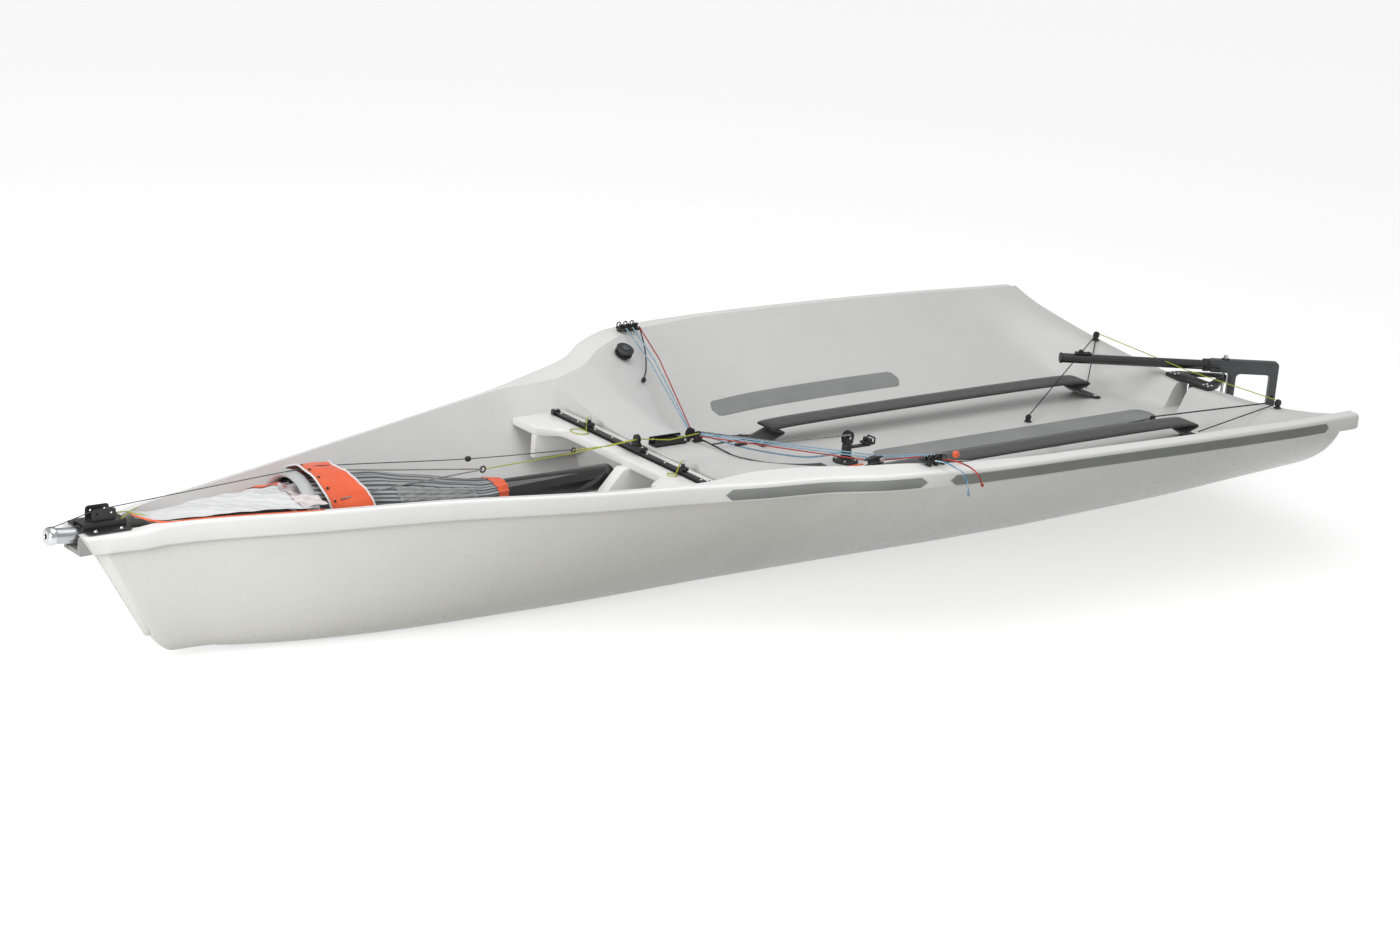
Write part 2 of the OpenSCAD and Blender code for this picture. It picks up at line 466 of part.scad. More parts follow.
module mainsheet_base() color([0.1, 0.1, 0.1]) boat() translate([sheet_x, 0, sheet_z]) {
  cylinder(r = 42, h = 6);
  translate([0, 0, 6]) cylinder(r = 17, h = 30);
}
module mainsheet_swivel() color([0.08, 0.08, 0.08]) boat() translate([sheet_x, 0, sheet_z + 37]) {
  cylinder(r = 15, h = 22);
  translate([-96, -9, 4]) cube([84, 18, 10]);
  translate([-104, -18, 12]) cube([34, 36, 30]);
  translate([0, 9, 40]) rotate([90, 0, 0]) difference() {
    cylinder(r = 20, h = 18);
    translate([0, 0, -1]) cylinder(r = 4, h = 22);
  }
}
ratchet_st = 53.6;
cleat_st = 56.2;
ratchet_y = 640;
ratchet_r = 30;
ratchet_t = 26;
function slope(st, y, d = 30) = atan((deck_z(st, y + d) - deck_z(st, y - d)) / (2 * d));
module on_slope(st, y, lift) { translate([x_at(st, y), y, deck_z(st, y)]) rotate([slope(st, y), 0, 0])
  translate([0, 0, lift]) children(); }
module ratchet_blocks() color([0.05, 0.05, 0.05]) boat() both_sides()
  on_slope(ratchet_st, ratchet_y, ratchet_t / 2 + 9) difference() {
    cylinder(r = ratchet_r, h = ratchet_t, center = true);
    cylinder(r = 5, h = ratchet_t + 2, center = true);
  }
module line_cleats() color([0.12, 0.12, 0.13]) boat() both_sides() for (i = [-1:1])
  translate([x_at(cleat_st) + i * 27, sheer_y(cleat_st) - 76, sheer_h(cleat_st) + 8]) {
    translate([-9, -24, 0]) cube([18, 48, 24]);
    translate([-6, 2, gap - 8]) cube([12, 20, 9]);
  }
floor_eye_at = [[81.8, 140], [84.2, -96], [93.6, 88]];
module eye(h = 22) {
  cylinder(r = 12, h = 4);
  translate([0, 0, 4]) rotate([90, 0, 0]) difference() {
    translate([0, (h - 4) / 2, 0]) cylinder(r = (h - 4) / 2 + 1, h = 8, center = true);
    translate([0, (h - 4) / 2, 0]) cylinder(r = 4, h = 20, center = true);
  }
}
module floor_eyes() color([0.06, 0.06, 0.06]) boat() for (p = floor_eye_at)
  translate([x_at(p[0]), p[1], floor_z + 1]) eye();
wing_eye_y = 445;
module wing_eyes() color([0.06, 0.06, 0.06]) boat() both_sides()
  translate([x_at(99.45, wing_eye_y), wing_eye_y, wall_z(wing_eye_y, 99.45) + 4]) eye(26);

// Stern: triangular bracket on the transom wall, post, hinge and turning rudder stock
plate_z = deck_z(100, 108) + 0.5;
plate_t = 12;
boss_r = 12;
module gantry_bracket() color([0.05, 0.05, 0.05]) boat() difference() {
  union() {
    translate([0, 0, plate_z]) linear_extrude(plate_t) polygon([[-hull_len + 42, 108], [-hull_len + 42, -108],
      [-hull_len - 12, -100], [hinge_x - 4, -boss_r], [hinge_x - 4, boss_r], [-hull_len - 12, 100]]);
    translate([hinge_x, 0, plate_z - 14]) cylinder(r = boss_r, h = plate_t + 16);
  }
  translate([hinge_x, 0, plate_z - 40]) cylinder(d = hinge_d, h = 100);
}
post_t = 30;
lower_z = 176;
module gantry_post() color([0.4, 0.4, 0.4]) boat()
  translate([-hull_len - post_t - gap, -25, lower_z - 26]) cube([post_t, 50, plate_z - gap - lower_z + 26]);
module lower_gudgeon() color([0.4, 0.4, 0.4]) boat() translate([0, 0, lower_z]) linear_extrude(14) difference() {
  union() {
    translate([hinge_x, -boss_r]) square([hinge_out - post_t - 2 * gap, 2 * boss_r]);
    translate([hinge_x, 0]) circle(r = boss_r);
  }
  translate([hinge_x, 0]) circle(d = hinge_d);
}
head_h = 46;
leg_a = -boss_r - 5;
leg_b = leg_a - 26;
knuckle_h = 34;
stock_low = lower_z - 6 - knuckle_h;
module hinge_pin() color([0.75, 0.76, 0.77]) boat() translate([hinge_x, 0, 0]) {
  translate([0, 0, stock_low - 4]) cylinder(d = hinge_d - 0.1, h = tiller_z + head_h / 2 + 8 - stock_low);
  translate([0, 0, tiller_z + head_h / 2 + 4]) cylinder(d = hinge_d + 6, h = 10);
}
module steered() { translate([hinge_x, 0, 0]) rotate([0, 0, -tiller_deg]) children(); }
socket_l = 62;
window_low = 246;
module rudder_stock() color([0.36, 0.36, 0.37]) boat() steered() difference() {
  translate([0, stock_t / 2, 0]) rotate([90, 0, 0]) linear_extrude(stock_t) difference() {
    polygon([[socket_l, tiller_z + 23], [12 - stock_l, tiller_z + 23], [-stock_l, tiller_z + 11],
      [-stock_l, 236], [12 - stock_l, 222], [leg_b, 196], [leg_b, stock_low], [14, stock_low],
      [14, stock_low + knuckle_h], [leg_a, stock_low + knuckle_h], [leg_a, tiller_z - 23],
      [socket_l, tiller_z - 23]]);
    polygon([[leg_b, tiller_z - 33], [leg_b - 10, tiller_z - 23], [30 - stock_l, tiller_z - 23],
      [28 - stock_l, tiller_z - 27], [28 - stock_l, window_low + 14], [42 - stock_l, window_low],
      [leg_b, window_low - 20]]);
  }
  translate([0, 0, stock_low - 10]) cylinder(d = hinge_d, h = 400);
  translate([socket_l - 44, 0, tiller_z]) rotate([0, 90, 0]) cylinder(d = tiller_d, h = 60);
  translate([28 - stock_l - 14, 0, 300]) rotate([90, 0, 0]) cylinder(d = 8, h = 60, center = true);
}
module tiller() color([0.04, 0.04, 0.04]) boat() steered() translate([socket_l - 44, 0, tiller_z])
  rotate([0, 90, 0]) difference() {
    cylinder(d = tiller_d - 0.1, h = tiller_l - socket_l + 44);
    translate([0, 0, 10]) cylinder(d = tiller_d - 5, h = tiller_l);
  }
module tiller_plug() color([0.06, 0.06, 0.06]) boat() steered() translate([tiller_l, 0, tiller_z])
  rotate([0, 90, 0]) { translate([0, 0, -14]) cylinder(d = tiller_d - 5.2, h = 15);
    translate([0, 0, 0.2]) cylinder(d = tiller_d + 2, h = 8); }
module tiller_fitting() color([0.06, 0.06, 0.06]) boat() steered()
  translate([tiller_l - 74, 0, tiller_z + tiller_d / 2 + gap]) difference() {
    translate([-30, -12, 0]) cube([60, 24, 14]);
    translate([8, 0, -5]) cylinder(d = 6, h = 40);
  }
module transom_bungs() color([0.1, 0.1, 0.1]) boat() for (s = [-1, 1])
  translate([x_at(100, 190) - 7, s * 190, 205]) rotate([0, 90, 0]) cylinder(r = 17, h = 6);

// Free rope: a flat hank on the port wing, and two short tails over the port gunwale
hank_y = 733;
hank_w = 60;
hank_t = 22;
hank_lift = 4;
function hank_ring(st, half) = let(x = x_at(st), a = hank_y - half, b = hank_y + half,
  za = deck_z(st, a) + hank_lift, zb = deck_z(st, b) + hank_lift)
  [[x, a, za], [x, b, zb], [x, b, zb + hank_t], [x, a, za + hank_t]];
module halyard_hank() color([0.25, 0.25, 0.26]) boat() loft([for (q = [[57.4, 0.6], [58, 0.9], [58.6, 1],
  [61, 1], [62.8, 0.9], [63.4, 0.6]]) hank_ring(q[0], q[1] * hank_w / 2)]);
// Tail routes: [aft of the bow, to port, above the ground]
rope_r = 2.5;
blue_tail = [[-2470, 790, 552], [-2478, 820, 556], [-2490, 850, 551], [-2500, 874, 541],
  [-2506, 890, 526], [-2510, 896, 508], [-2514, 898, 490], [-2518, 898, 474]];
red_tail = [[-2500, 790, 552], [-2512, 818, 557], [-2530, 848, 553], [-2546, 874, 543],
  [-2556, 892, 528], [-2562, 899, 512], [-2568, 901, 498]];
function unit(v) = v / norm(v);
function along(p, i) = unit(p[min(i + 1, len(p) - 1)] - p[max(i - 1, 0)]);
function tube_ring(p, i, r, n = 8) = let(t = along(p, i), u = unit(cross(t, [0.2, 0, 1])), w = cross(t, u))
  [for (j = [0:n - 1]) p[i] + r * (cos(j * 360 / n) * u + sin(j * 360 / n) * w)];
module tube(p, r, n = 8) {
  m = len(p);
  polyhedron([for (i = [0:m - 1]) each tube_ring(p, i, r, n)], concat(
    [for (i = [0:m - 2], j = [0:n - 1]) let(a = i * n + j, b = i * n + (j + 1) % n)
      each [[a, b, b + n], [a, b + n, a + n]]],
    [[for (j = [n - 1:-1:0]) j], [for (j = [0:n - 1]) (m - 1) * n + j]]), 10);
}
module tail_blue() color([0.2, 0.45, 0.6]) boat() tube(blue_tail, rope_r);
module tail_red() color([0.7, 0.2, 0.15]) boat() tube(red_tail, rope_r);

// Forestay wire, stowed taut from the bow fitting over the arch to the jib car
wire_d = 3;
stay = [[-112, 0, 478], [arch_x, 0, arch_top + 2], [arch_x - 144, 0, arch_top - 1], [-1323, 0, 467], [-1710, 0, 447]];
module forestay_wire() color([0.5, 0.5, 0.5]) boat() tube(stay, wire_d / 2);

hull_moulding();
deck_moulding();
gunwale_port();
gunwale_starboard();
bow_block();
mast_beam();
bow_fitting();
spinnaker_pole();
pole_cap();
chute_arch();
chute_skirt();
chute_trough();
chute_sock();
chute_tunnel();
forestay_wire();
jib_track();
track_stops();
jib_car();
mast_step();
mast_step_pin();
mast_foot_blocks();
daggerboard_case();
toe_strap_port();
toe_strap_starboard();
floor_grip_pad();
wing_grip_pads();
gunwale_grip_pads();
mainsheet_base();
mainsheet_swivel();
ratchet_blocks();
line_cleats();
floor_eyes();
wing_eyes();
gantry_bracket();
gantry_post();
hinge_pin();
lower_gudgeon();
rudder_stock();
tiller();
tiller_plug();
tiller_fitting();
transom_bungs();
halyard_hank();
tail_blue();
tail_red();
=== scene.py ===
"""An open two-person skiff dinghy, unrigged: hull, wings, bow pole, chute, track, straps, stern gear."""
from __future__ import annotations

import logging
import math
from dataclasses import dataclass
from enum import Enum
from typing import Callable, Sequence

import bmesh
import bpy
from mathutils import Matrix, Vector


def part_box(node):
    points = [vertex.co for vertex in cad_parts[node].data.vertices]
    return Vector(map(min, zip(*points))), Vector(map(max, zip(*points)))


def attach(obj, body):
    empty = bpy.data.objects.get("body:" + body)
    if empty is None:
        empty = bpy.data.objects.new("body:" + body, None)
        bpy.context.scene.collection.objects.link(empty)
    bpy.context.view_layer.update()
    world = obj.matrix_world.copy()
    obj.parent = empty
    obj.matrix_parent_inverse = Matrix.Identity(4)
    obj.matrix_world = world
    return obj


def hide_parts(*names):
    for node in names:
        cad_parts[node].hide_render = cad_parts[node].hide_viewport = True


logging.basicConfig(level=logging.INFO, format="%(message)s")
LOG = logging.getLogger("skiff")

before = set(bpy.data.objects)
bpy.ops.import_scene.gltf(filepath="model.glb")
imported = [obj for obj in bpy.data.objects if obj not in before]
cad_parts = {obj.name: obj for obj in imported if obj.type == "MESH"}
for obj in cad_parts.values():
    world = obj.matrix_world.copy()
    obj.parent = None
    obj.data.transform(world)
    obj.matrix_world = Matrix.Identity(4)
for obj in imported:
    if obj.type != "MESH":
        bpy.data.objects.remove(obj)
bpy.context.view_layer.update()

Point = tuple[float, float, float]
Flat = tuple[float, float]
Node = bpy.types.ShaderNode
Obj = bpy.types.Object


class Body(Enum):
    """Rigid bodies of the boat."""

    HULL = "hull"
    POLE = "pole"
    RUDDER = "rudder"


class Weave(Enum):
    """Surface textures that a cloth can have."""

    SAILCLOTH = "sailcloth"
    MESH = "mesh"
    WEBBING = "webbing"


class Curve:
    """Smooth monotone curve through a short table of [station, value] rows."""

    def __init__(self, rows: Sequence[tuple[float, float]]) -> None:
        """Args:
        rows: the table, in rising order of station.
        """
        self.rows = list(rows)
        n = len(self.rows)
        rise = [(self.rows[i + 1][1] - self.rows[i][1]) / (self.rows[i + 1][0] - self.rows[i][0])
                for i in range(n - 1)]
        self.slope = [rise[0]]
        for a, b in zip(rise, rise[1:]):
            self.slope.append(0.0 if a * b <= 0 else 2 * a * b / (a + b))
        self.slope.append(rise[-1])

    def __call__(self, t: float) -> float:
        """Returns the curve's value at station t, held constant past its ends."""
        i = 0
        while i < len(self.rows) - 2 and t >= self.rows[i + 1][0]:
            i += 1
        (t0, v0), (t1, v1) = self.rows[i], self.rows[i + 1]
        h = t1 - t0
        u = min(max((t - t0) / h, 0.0), 1.0)
        u2, u3 = u * u, u * u * u
        return ((2 * u3 - 3 * u2 + 1) * v0 + (u3 - 2 * u2 + u) * h * self.slope[i]
                + (3 * u2 - 2 * u3) * v1 + (u3 - u2) * h * self.slope[i + 1])


def mix(a: float, b: float, t: float) -> float:
    """Returns the value a share t of the way from a to b."""
    return a + (b - a) * t


def ease(t: float) -> float:
    """Returns a smooth step from 0 to 1."""
    u = min(max(t, 0.0), 1.0)
    return u * u * (3 - 2 * u)


def lookup(v: float, rows: Sequence[tuple[float, float]]) -> float:
    """Straight-line value in a table.

    Args:
        v: where to look.
        rows: (key, value) pairs in rising order of key.

    Returns:
        The value at v, held constant past the ends.
    """
    if v <= rows[0][0]:
        return rows[0][1]
    for (a, x), (b, y) in zip(rows, rows[1:]):
        if v <= b:
            return x if b - a < 1e-9 else mix(x, y, (v - a) / (b - a))
    return rows[-1][1]


# Stations just before and after the deck's step, and where the deck starts up to the transom wall
STEP_ABOVE = 44.95
STEP_BELOW = 45.05
WALL_FOOT_ST = 97.4


@dataclass
class Lines:
    """The boat's lines, in millimetres aft of the nose; stations run from 0 to 100 percent of the hull."""

    hull_len: float = 4420
    half_beam: float = 888
    rim_top: float = 534
    rim_h: float = 54
    aft_rise: float = 105
    tip_sweep: float = 137
    floor_z: float = 266
    step_z: float = 420
    wall_h: float = 352
    slot_w: float = 54
    stem_rake: float = 213
    board_l: float = 380
    board_w: float = 34
    wall_st: float = 98.9

    def __post_init__(self) -> None:
        """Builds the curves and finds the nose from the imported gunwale."""
        self.sheer_b = Curve([(0, 0.080), (6.6, 0.121), (15.5, 0.237), (24.3, 0.36), (33.2, 0.499),
                              (39.8, 0.599), (44.2, 0.68), (48.7, 0.763), (52, 0.875), (55.3, 0.938),
                              (60, 0.973), (66.4, 0.989), (79.6, 1.0), (90, 0.992), (100, 0.972)])
        self.sheer_t = Curve([(0, 0.797), (3.9, 0.8), (5.8, 0.828), (7.5, 0.834), (15.5, 0.85),
                              (24.3, 0.875), (33.2, 0.888), (39.8, 0.906), (44.2, 0.921), (48.7, 0.948),
                              (52, 0.98), (55.3, 1.0), (60, 1.0), (66.4, 0.998), (79.6, 0.981), (90, 0.962),
                              (100, 0.947)])
        self.band_h = Curve([(0, 1.15), (3, 1.02), (6.6, 1.2), (24, 1.16), (50, 1.02), (100, 1.0)])
        self.band_w = Curve([(0, 44), (4, 40), (8, 20), (34, 20), (40, 30), (46, 112), (53, 104), (58, 70),
                             (66, 44), (100, 40)])
        self.band_lap = Curve([(0, 24), (82, 26), (94, 70), (100, 92)])
        self.keel_line = Curve([(2, 0.24), (6.7, 0.24), (9, 0.16), (14, 0.06), (20, 0.01), (26, 0), (66, 0),
                                (74, 0.06), (86, 0.42), (94, 0.76), (100, 1.0)])
        self.keel_flat = Curve([(2, 7), (7, 18), (16, 44), (28, 80), (40, 98), (100, 98)])
        self.bilge_y = Curve([(2, 0.52), (16, 0.55), (34, 0.3), (55, 0.164), (75, 0.2), (100, 0.42)])
        self.bilge_z = Curve([(2, 0.05), (16, 0.01), (34, 0), (75, 0), (100, 0.05)])
        self.bulge_y = Curve([(2, 0.8), (16, 0.8), (34, 0.7), (55, 0.574), (75, 0.72), (100, 1.0)])
        self.bulge_z = Curve([(2, 0.4), (16, 0.3), (34, 0.42), (55, 0.534), (75, 0.52), (100, 0.545)])
        self.well_z = Curve([(0, 372), (3, 366), (7, 290), (12, 232), (20, 185), (45, 170)])
        self.well_w = Curve([(0, 22), (3, 28), (8, 42), (14, 70), (24, 118), (34, 190), (45, 262)])
        self.ramp_z = Curve([(45, 1), (48.8, 1), (51, 0.80), (54, 0.44), (58, 0.15), (62, 0.02), (65, 0),
                             (100, 0)])
        self.floor_w = Curve([(45, 140), (50, 190), (55, 330), (60, 440), (66, 488), (78, 503), (90, 498),
                              (100, 450)])
        self.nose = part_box("gunwale_port")[1][0] * 1000 + 0.003 * self.hull_len

    def m(self, x: float, y: float, z: float) -> Vector:
        """Returns the row-frame point, in metres, of a place in millimetres aft of the nose."""
        return Vector(((x + self.nose) / 1000, y / 1000, z / 1000))

    def sheer_y(self, st: float) -> float:
        """Returns the gunwale's half-breadth at a station."""
        return self.half_beam * self.sheer_b(st)

    def sheer_h(self, st: float) -> float:
        """Returns the gunwale's top height at a station."""
        return self.rim_top * self.sheer_t(st)

    def rim_b(self, st: float) -> float:
        """Returns the gunwale band's depth at a station."""
        return self.rim_h * self.band_h(st)

    def rim_w(self, st: float) -> float:
        """Returns the gunwale band's breadth on top at a station."""
        return min(self.band_w(st), self.sheer_y(st) - 33)

    def keel_z(self, st: float) -> float:
        """Returns the keel's height at a station."""
        return self.aft_rise * self.keel_line(st)

    def x_at(self, st: float, y: float = 0.0, h: float = 1.0) -> float:
        """Returns the distance (negative aft) of a station, with the stem's rake and the swept tips."""
        return (-self.hull_len * st / 100
                + self.tip_sweep * min(abs(y) / self.half_beam, 1) ** 2 * ease((st - 84) / 16)
                - self.stem_rake * (1 - h) * max(0.0, 1 - (st - 2) / 28) ** 2)

    def centre(self, st: float) -> tuple[float, float]:
        """Returns the half-breadth and the height of the deck's flat middle at a station."""
        well = st < 45
        z = self.well_z(st) if well else mix(self.floor_z, self.step_z, self.ramp_z(st))
        w = self.well_w(st) if well else self.floor_w(st) * self.half_beam / 888
        return min(w, (self.sheer_y(st) - self.rim_w(st)) * 0.88), z

    def bottom(self, st: float, t: float) -> tuple[float, float]:
        """Returns (y, z) on the bottom: t runs from 0 at the keel's edge to 1 under the band."""
        b0, z0 = self.keel_flat(st), self.keel_z(st)
        b3, z3 = self.sheer_y(st) - self.band_lap(st), self.sheer_h(st) - self.rim_b(st)
        s = 1 - t
        c = (s ** 3, 3 * s * s * t, 3 * s * t * t, t ** 3)
        b1, z1 = mix(b0, b3, self.bilge_y(st)), mix(z0, z3, self.bilge_z(st))
        b2, z2 = mix(b0, b3, self.bulge_y(st)), mix(z0, z3, self.bulge_z(st))
        return c[0] * b0 + c[1] * b1 + c[2] * b2 + c[3] * b3, c[0] * z0 + c[1] * z1 + c[2] * z2 + c[3] * z3

    def wall_z(self, y: float, st: float) -> float:
        """Returns the height of the transom wall's top at a breadth."""
        return mix(self.wall_h, self.sheer_h(st), min(abs(y) / (self.half_beam * 0.97), 1) ** 2)

    def deck_raw(self, st: float) -> list[tuple[float, float]]:
        """Returns the deck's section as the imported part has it, from the middle to the band."""
        w, z = self.centre(st)
        bi, zi = self.sheer_y(st) - self.rim_w(st), self.sheer_h(st)
        sl = min(self.slot_w / 2, w * 0.3)
        rows = [(0.0, z), (sl, z), (sl + min(4, w * 0.1), z), (w * 0.62, z)]
        power = 0.9 if st < 45 else 1.12
        rows += [(mix(w, bi, u), mix(z, zi, u ** power)) for u in (0, 0.2, 0.4, 0.6, 0.8, 1.0)]
        out = []
        for k, (y, h) in enumerate(rows):
            b = 0.0 if k < 2 or k > 8 else ease((st - (WALL_FOOT_ST - (k - 2) * 0.85))
                                              / (self.wall_st - WALL_FOOT_ST + (k - 2) * 0.85))
            out.append((y, mix(h, max(h, self.wall_z(y, st)), b)))
        return out

    def deck_z(self, st: float, y: float) -> float:
        """Returns the deck's height at a station and a breadth."""
        return lookup(abs(y), self.deck_raw(st))

    def side_y(self, st: float, z: float) -> float:
        """Returns the breadth at which the deck's side reaches a height."""
        return lookup(z, [(h, y) for y, h in self.deck_raw(st)[4:]])

    def station(self, x: float) -> float:
        """Returns the station at a distance (negative aft) on the centreline."""
        return -100 * x / self.hull_len


# Finishes


class Shader:
    """A material's node tree with short calls for the nodes that the finishes share."""

    def __init__(self, name: str) -> None:
        """Starts a material with one Principled shader."""
        self.mat = bpy.data.materials.new(name)
        self.mat.use_nodes = True
        self.tree = self.mat.node_tree
        self.bsdf = next(n for n in self.tree.nodes if n.type == "BSDF_PRINCIPLED")
        self.coord = self.tree.nodes.new("ShaderNodeTexCoord")

    def node(self, kind: str, **sockets: object) -> Node:
        """Adds a node and sets its inputs.

        Args:
            kind: the node's type name.
            sockets: input names, spaces as underscores, and their values.

        Returns:
            The new node.
        """
        n = self.tree.nodes.new(kind)
        for key, value in sockets.items():
            n.inputs[key.replace("_", " ")].default_value = value
        return n

    def link(self, a: bpy.types.NodeSocket, b: bpy.types.NodeSocket) -> None:
        """Joins an output to an input."""
        self.tree.links.new(a, b)

    def noise(self, scale: float, detail: float = 3.0, uv: bool = False,
              stretch: Point = (1, 1, 1)) -> bpy.types.NodeSocket:
        """Returns a noise texture's value.

        Args:
            scale: features per metre, or per UV unit.
            detail: octaves.
            uv: reads the UV map in place of the object's own metres.
            stretch: how the coordinates are scaled first.
        """
        m = self.node("ShaderNodeMapping")
        m.inputs["Scale"].default_value = stretch
        self.link(self.coord.outputs["UV" if uv else "Object"], m.inputs["Vector"])
        n = self.node("ShaderNodeTexNoise", Scale=scale, Detail=detail)
        self.link(m.outputs["Vector"], n.inputs["Vector"])
        return n.outputs["Fac"]

    def ramp(self, fac: bpy.types.NodeSocket, low: Point, high: Point, a: float = 0.3,
             b: float = 0.7) -> bpy.types.NodeSocket:
        """Returns a colour that runs from low to high as fac runs from a to b."""
        r = self.node("ShaderNodeValToRGB")
        r.color_ramp.elements[0].position, r.color_ramp.elements[1].position = a, b
        r.color_ramp.elements[0].color, r.color_ramp.elements[1].color = (*low, 1), (*high, 1)
        self.link(fac, r.inputs["Fac"])
        return r.outputs["Color"]

    def spread(self, fac: bpy.types.NodeSocket, low: float, high: float) -> bpy.types.NodeSocket:
        """Returns fac mapped from 0.3..0.7 to low..high."""
        r = self.node("ShaderNodeMapRange")
        r.inputs["From Min"].default_value, r.inputs["From Max"].default_value = 0.3, 0.7
        r.inputs["To Min"].default_value, r.inputs["To Max"].default_value = low, high
        self.link(fac, r.inputs["Value"])
        return r.outputs["Result"]

    def bump(self, fac: bpy.types.NodeSocket, strength: float, distance: float) -> None:
        """Adds a height map to the shader's normal, on top of any before it."""
        b = self.node("ShaderNodeBump", Strength=strength, Distance=distance)
        self.link(fac, b.inputs["Height"])
        old = self.bsdf.inputs["Normal"]
        if old.is_linked:
            self.link(old.links[0].from_socket, b.inputs["Normal"])
        self.link(b.outputs["Normal"], old)


@dataclass(frozen=True)
class Finish:
    """A surface finish: a colour that varies a little, gloss that varies, and a fine relief."""

    name: str
    colour: Point
    drift: float = 0.06
    rough: tuple[float, float] = (0.3, 0.4)
    metal: float = 0.0
    coat: float = 0.0
    sheen: float = 0.0
    grain: float = 600.0
    relief: float = 0.08
    depth: float = 0.0004

    def dress(self, s: Shader) -> None:
        """Adds what this kind of finish has beyond the plain one."""

    def material(self) -> bpy.types.Material:
        """Returns the finish's material, made once."""
        if self.name in bpy.data.materials:
            return bpy.data.materials[self.name]
        s = Shader(self.name)
        low = tuple(c * (1 - self.drift) for c in self.colour)
        high = tuple(min(1.0, c * (1 + self.drift)) for c in self.colour)
        s.link(s.ramp(s.noise(7.0, 4.0), low, high), s.bsdf.inputs["Base Color"])
        s.link(s.spread(s.noise(35.0, 3.0), *self.rough), s.bsdf.inputs["Roughness"])
        s.bsdf.inputs["Metallic"].default_value = self.metal
        s.bsdf.inputs["Coat Weight"].default_value = self.coat
        s.bsdf.inputs["Coat Roughness"].default_value = 0.08
        s.bsdf.inputs["Sheen Weight"].default_value = self.sheen
        s.bump(s.noise(self.grain, 2.0), self.relief, self.depth)
        self.dress(s)
        return s.mat


@dataclass(frozen=True)
class NonSkid(Finish):
    """Moulded gelcoat with a fine raised grain."""

    def dress(self, s: Shader) -> None:
        """Adds the grain's small cells."""
        v = s.node("ShaderNodeTexVoronoi", Scale=420.0)
        s.link(s.coord.outputs["Object"], v.inputs["Vector"])
        s.bump(v.outputs["Distance"], 0.10, 0.0006)


@dataclass(frozen=True)
class Ribbed(Finish):
    """Foam with fine pressed ribs."""

    pitch: float = 190.0
    along: Point = (0, 1, 0)

    def dress(self, s: Shader) -> None:
        """Adds the ribs."""
        w = s.node("ShaderNodeTexWave", Scale=self.pitch / 6.28, Distortion=0.4)
        w.bands_direction = "X" if self.along[0] else "Y"
        s.link(s.coord.outputs["Object"], w.inputs["Vector"])
        s.bump(w.outputs["Fac"], 0.25, 0.0008)


@dataclass(frozen=True)
class Cloth(Finish):
    """Woven cloth: sailcloth, mesh or webbing."""

    weave: Weave = Weave.SAILCLOTH
    clear: float = 0.0

    def dress(self, s: Shader) -> None:
        """Adds the weave, and for a mesh its dark lengthwise threads with painted highlights between them."""
        pitch = {Weave.SAILCLOTH: 380.0, Weave.MESH: 300.0, Weave.WEBBING: 150.0}[self.weave]
        for way in ("X", "Y"):
            w = s.node("ShaderNodeTexWave", Scale=pitch, Distortion=0.6)
            w.bands_direction = way
            s.link(s.coord.outputs["Object"], w.inputs["Vector"])
            s.bump(w.outputs["Fac"], 0.15, 0.0005)
        s.bump(s.noise(22.0, 3.0), 0.35, 0.006)
        s.bsdf.inputs["Sheen Roughness"].default_value = 0.5
        if self.weave is Weave.MESH:
            # Mesh: lengthwise bands run from the threads' dark, 0.30 of the colour, to painted highlights at
            # 1.45 of it.
            threads_and_highlights = s.node("ShaderNodeTexWave", Scale=8.5, Distortion=1.6, Detail=2.0, Detail_Scale=1.0)
            threads_and_highlights.bands_direction = "Y"
            m = s.node("ShaderNodeMapping")
            m.inputs["Scale"].default_value = (0.25, 1.0, 1.0)
            s.link(s.coord.outputs["UV"], m.inputs["Vector"])
            s.link(m.outputs["Vector"], threads_and_highlights.inputs["Vector"])
            dark = tuple(c * 0.30 for c in self.colour)
            light = tuple(min(1.0, c * 1.45) for c in self.colour)
            s.link(s.ramp(threads_and_highlights.outputs["Fac"], dark, light, 0.25, 0.6), s.bsdf.inputs["Base Color"])


@dataclass(frozen=True)
class Braid(Finish):
    """Braided line with a fleck of a second colour."""

    fleck: Point = (0.8, 0.8, 0.8)
    share: float = 0.5

    def dress(self, s: Shader) -> None:
        """Adds the flecks and the strands, which follow the line's own UV map."""
        m = s.node("ShaderNodeMapping")
        m.inputs["Rotation"].default_value = (0, 0, 0.6)
        s.link(s.coord.outputs["UV"], m.inputs["Vector"])
        w = s.node("ShaderNodeTexWave", Scale=1.0, Distortion=2.0)
        s.link(m.outputs["Vector"], w.inputs["Vector"])
        s.link(s.ramp(w.outputs["Fac"], self.colour, self.fleck, self.share, self.share + 0.08),
               s.bsdf.inputs["Base Color"])
        s.bump(w.outputs["Fac"], 0.5, 0.0006)


@dataclass(frozen=True)
class Film(Finish):
    """Clear window film: thin, glossy and crinkled."""

    def dress(self, s: Shader) -> None:
        """Makes the film clear and adds its crinkles."""
        s.bsdf.inputs["Transmission Weight"].default_value = 0.75
        s.bsdf.inputs["IOR"].default_value = 1.25
        s.bump(s.noise(60.0, 3.0), 0.8, 0.008)


@dataclass(frozen=True)
class Brushed(Finish):
    """Metal with fine lines along one direction."""

    stretch: Point = (1, 60, 60)

    def dress(self, s: Shader) -> None:
        """Adds the drawn lines."""
        s.bump(s.noise(26.0, 4.0, stretch=self.stretch), 0.12, 0.0003)
        s.link(s.spread(s.noise(20.0, 4.0, stretch=self.stretch), *self.rough), s.bsdf.inputs["Roughness"])


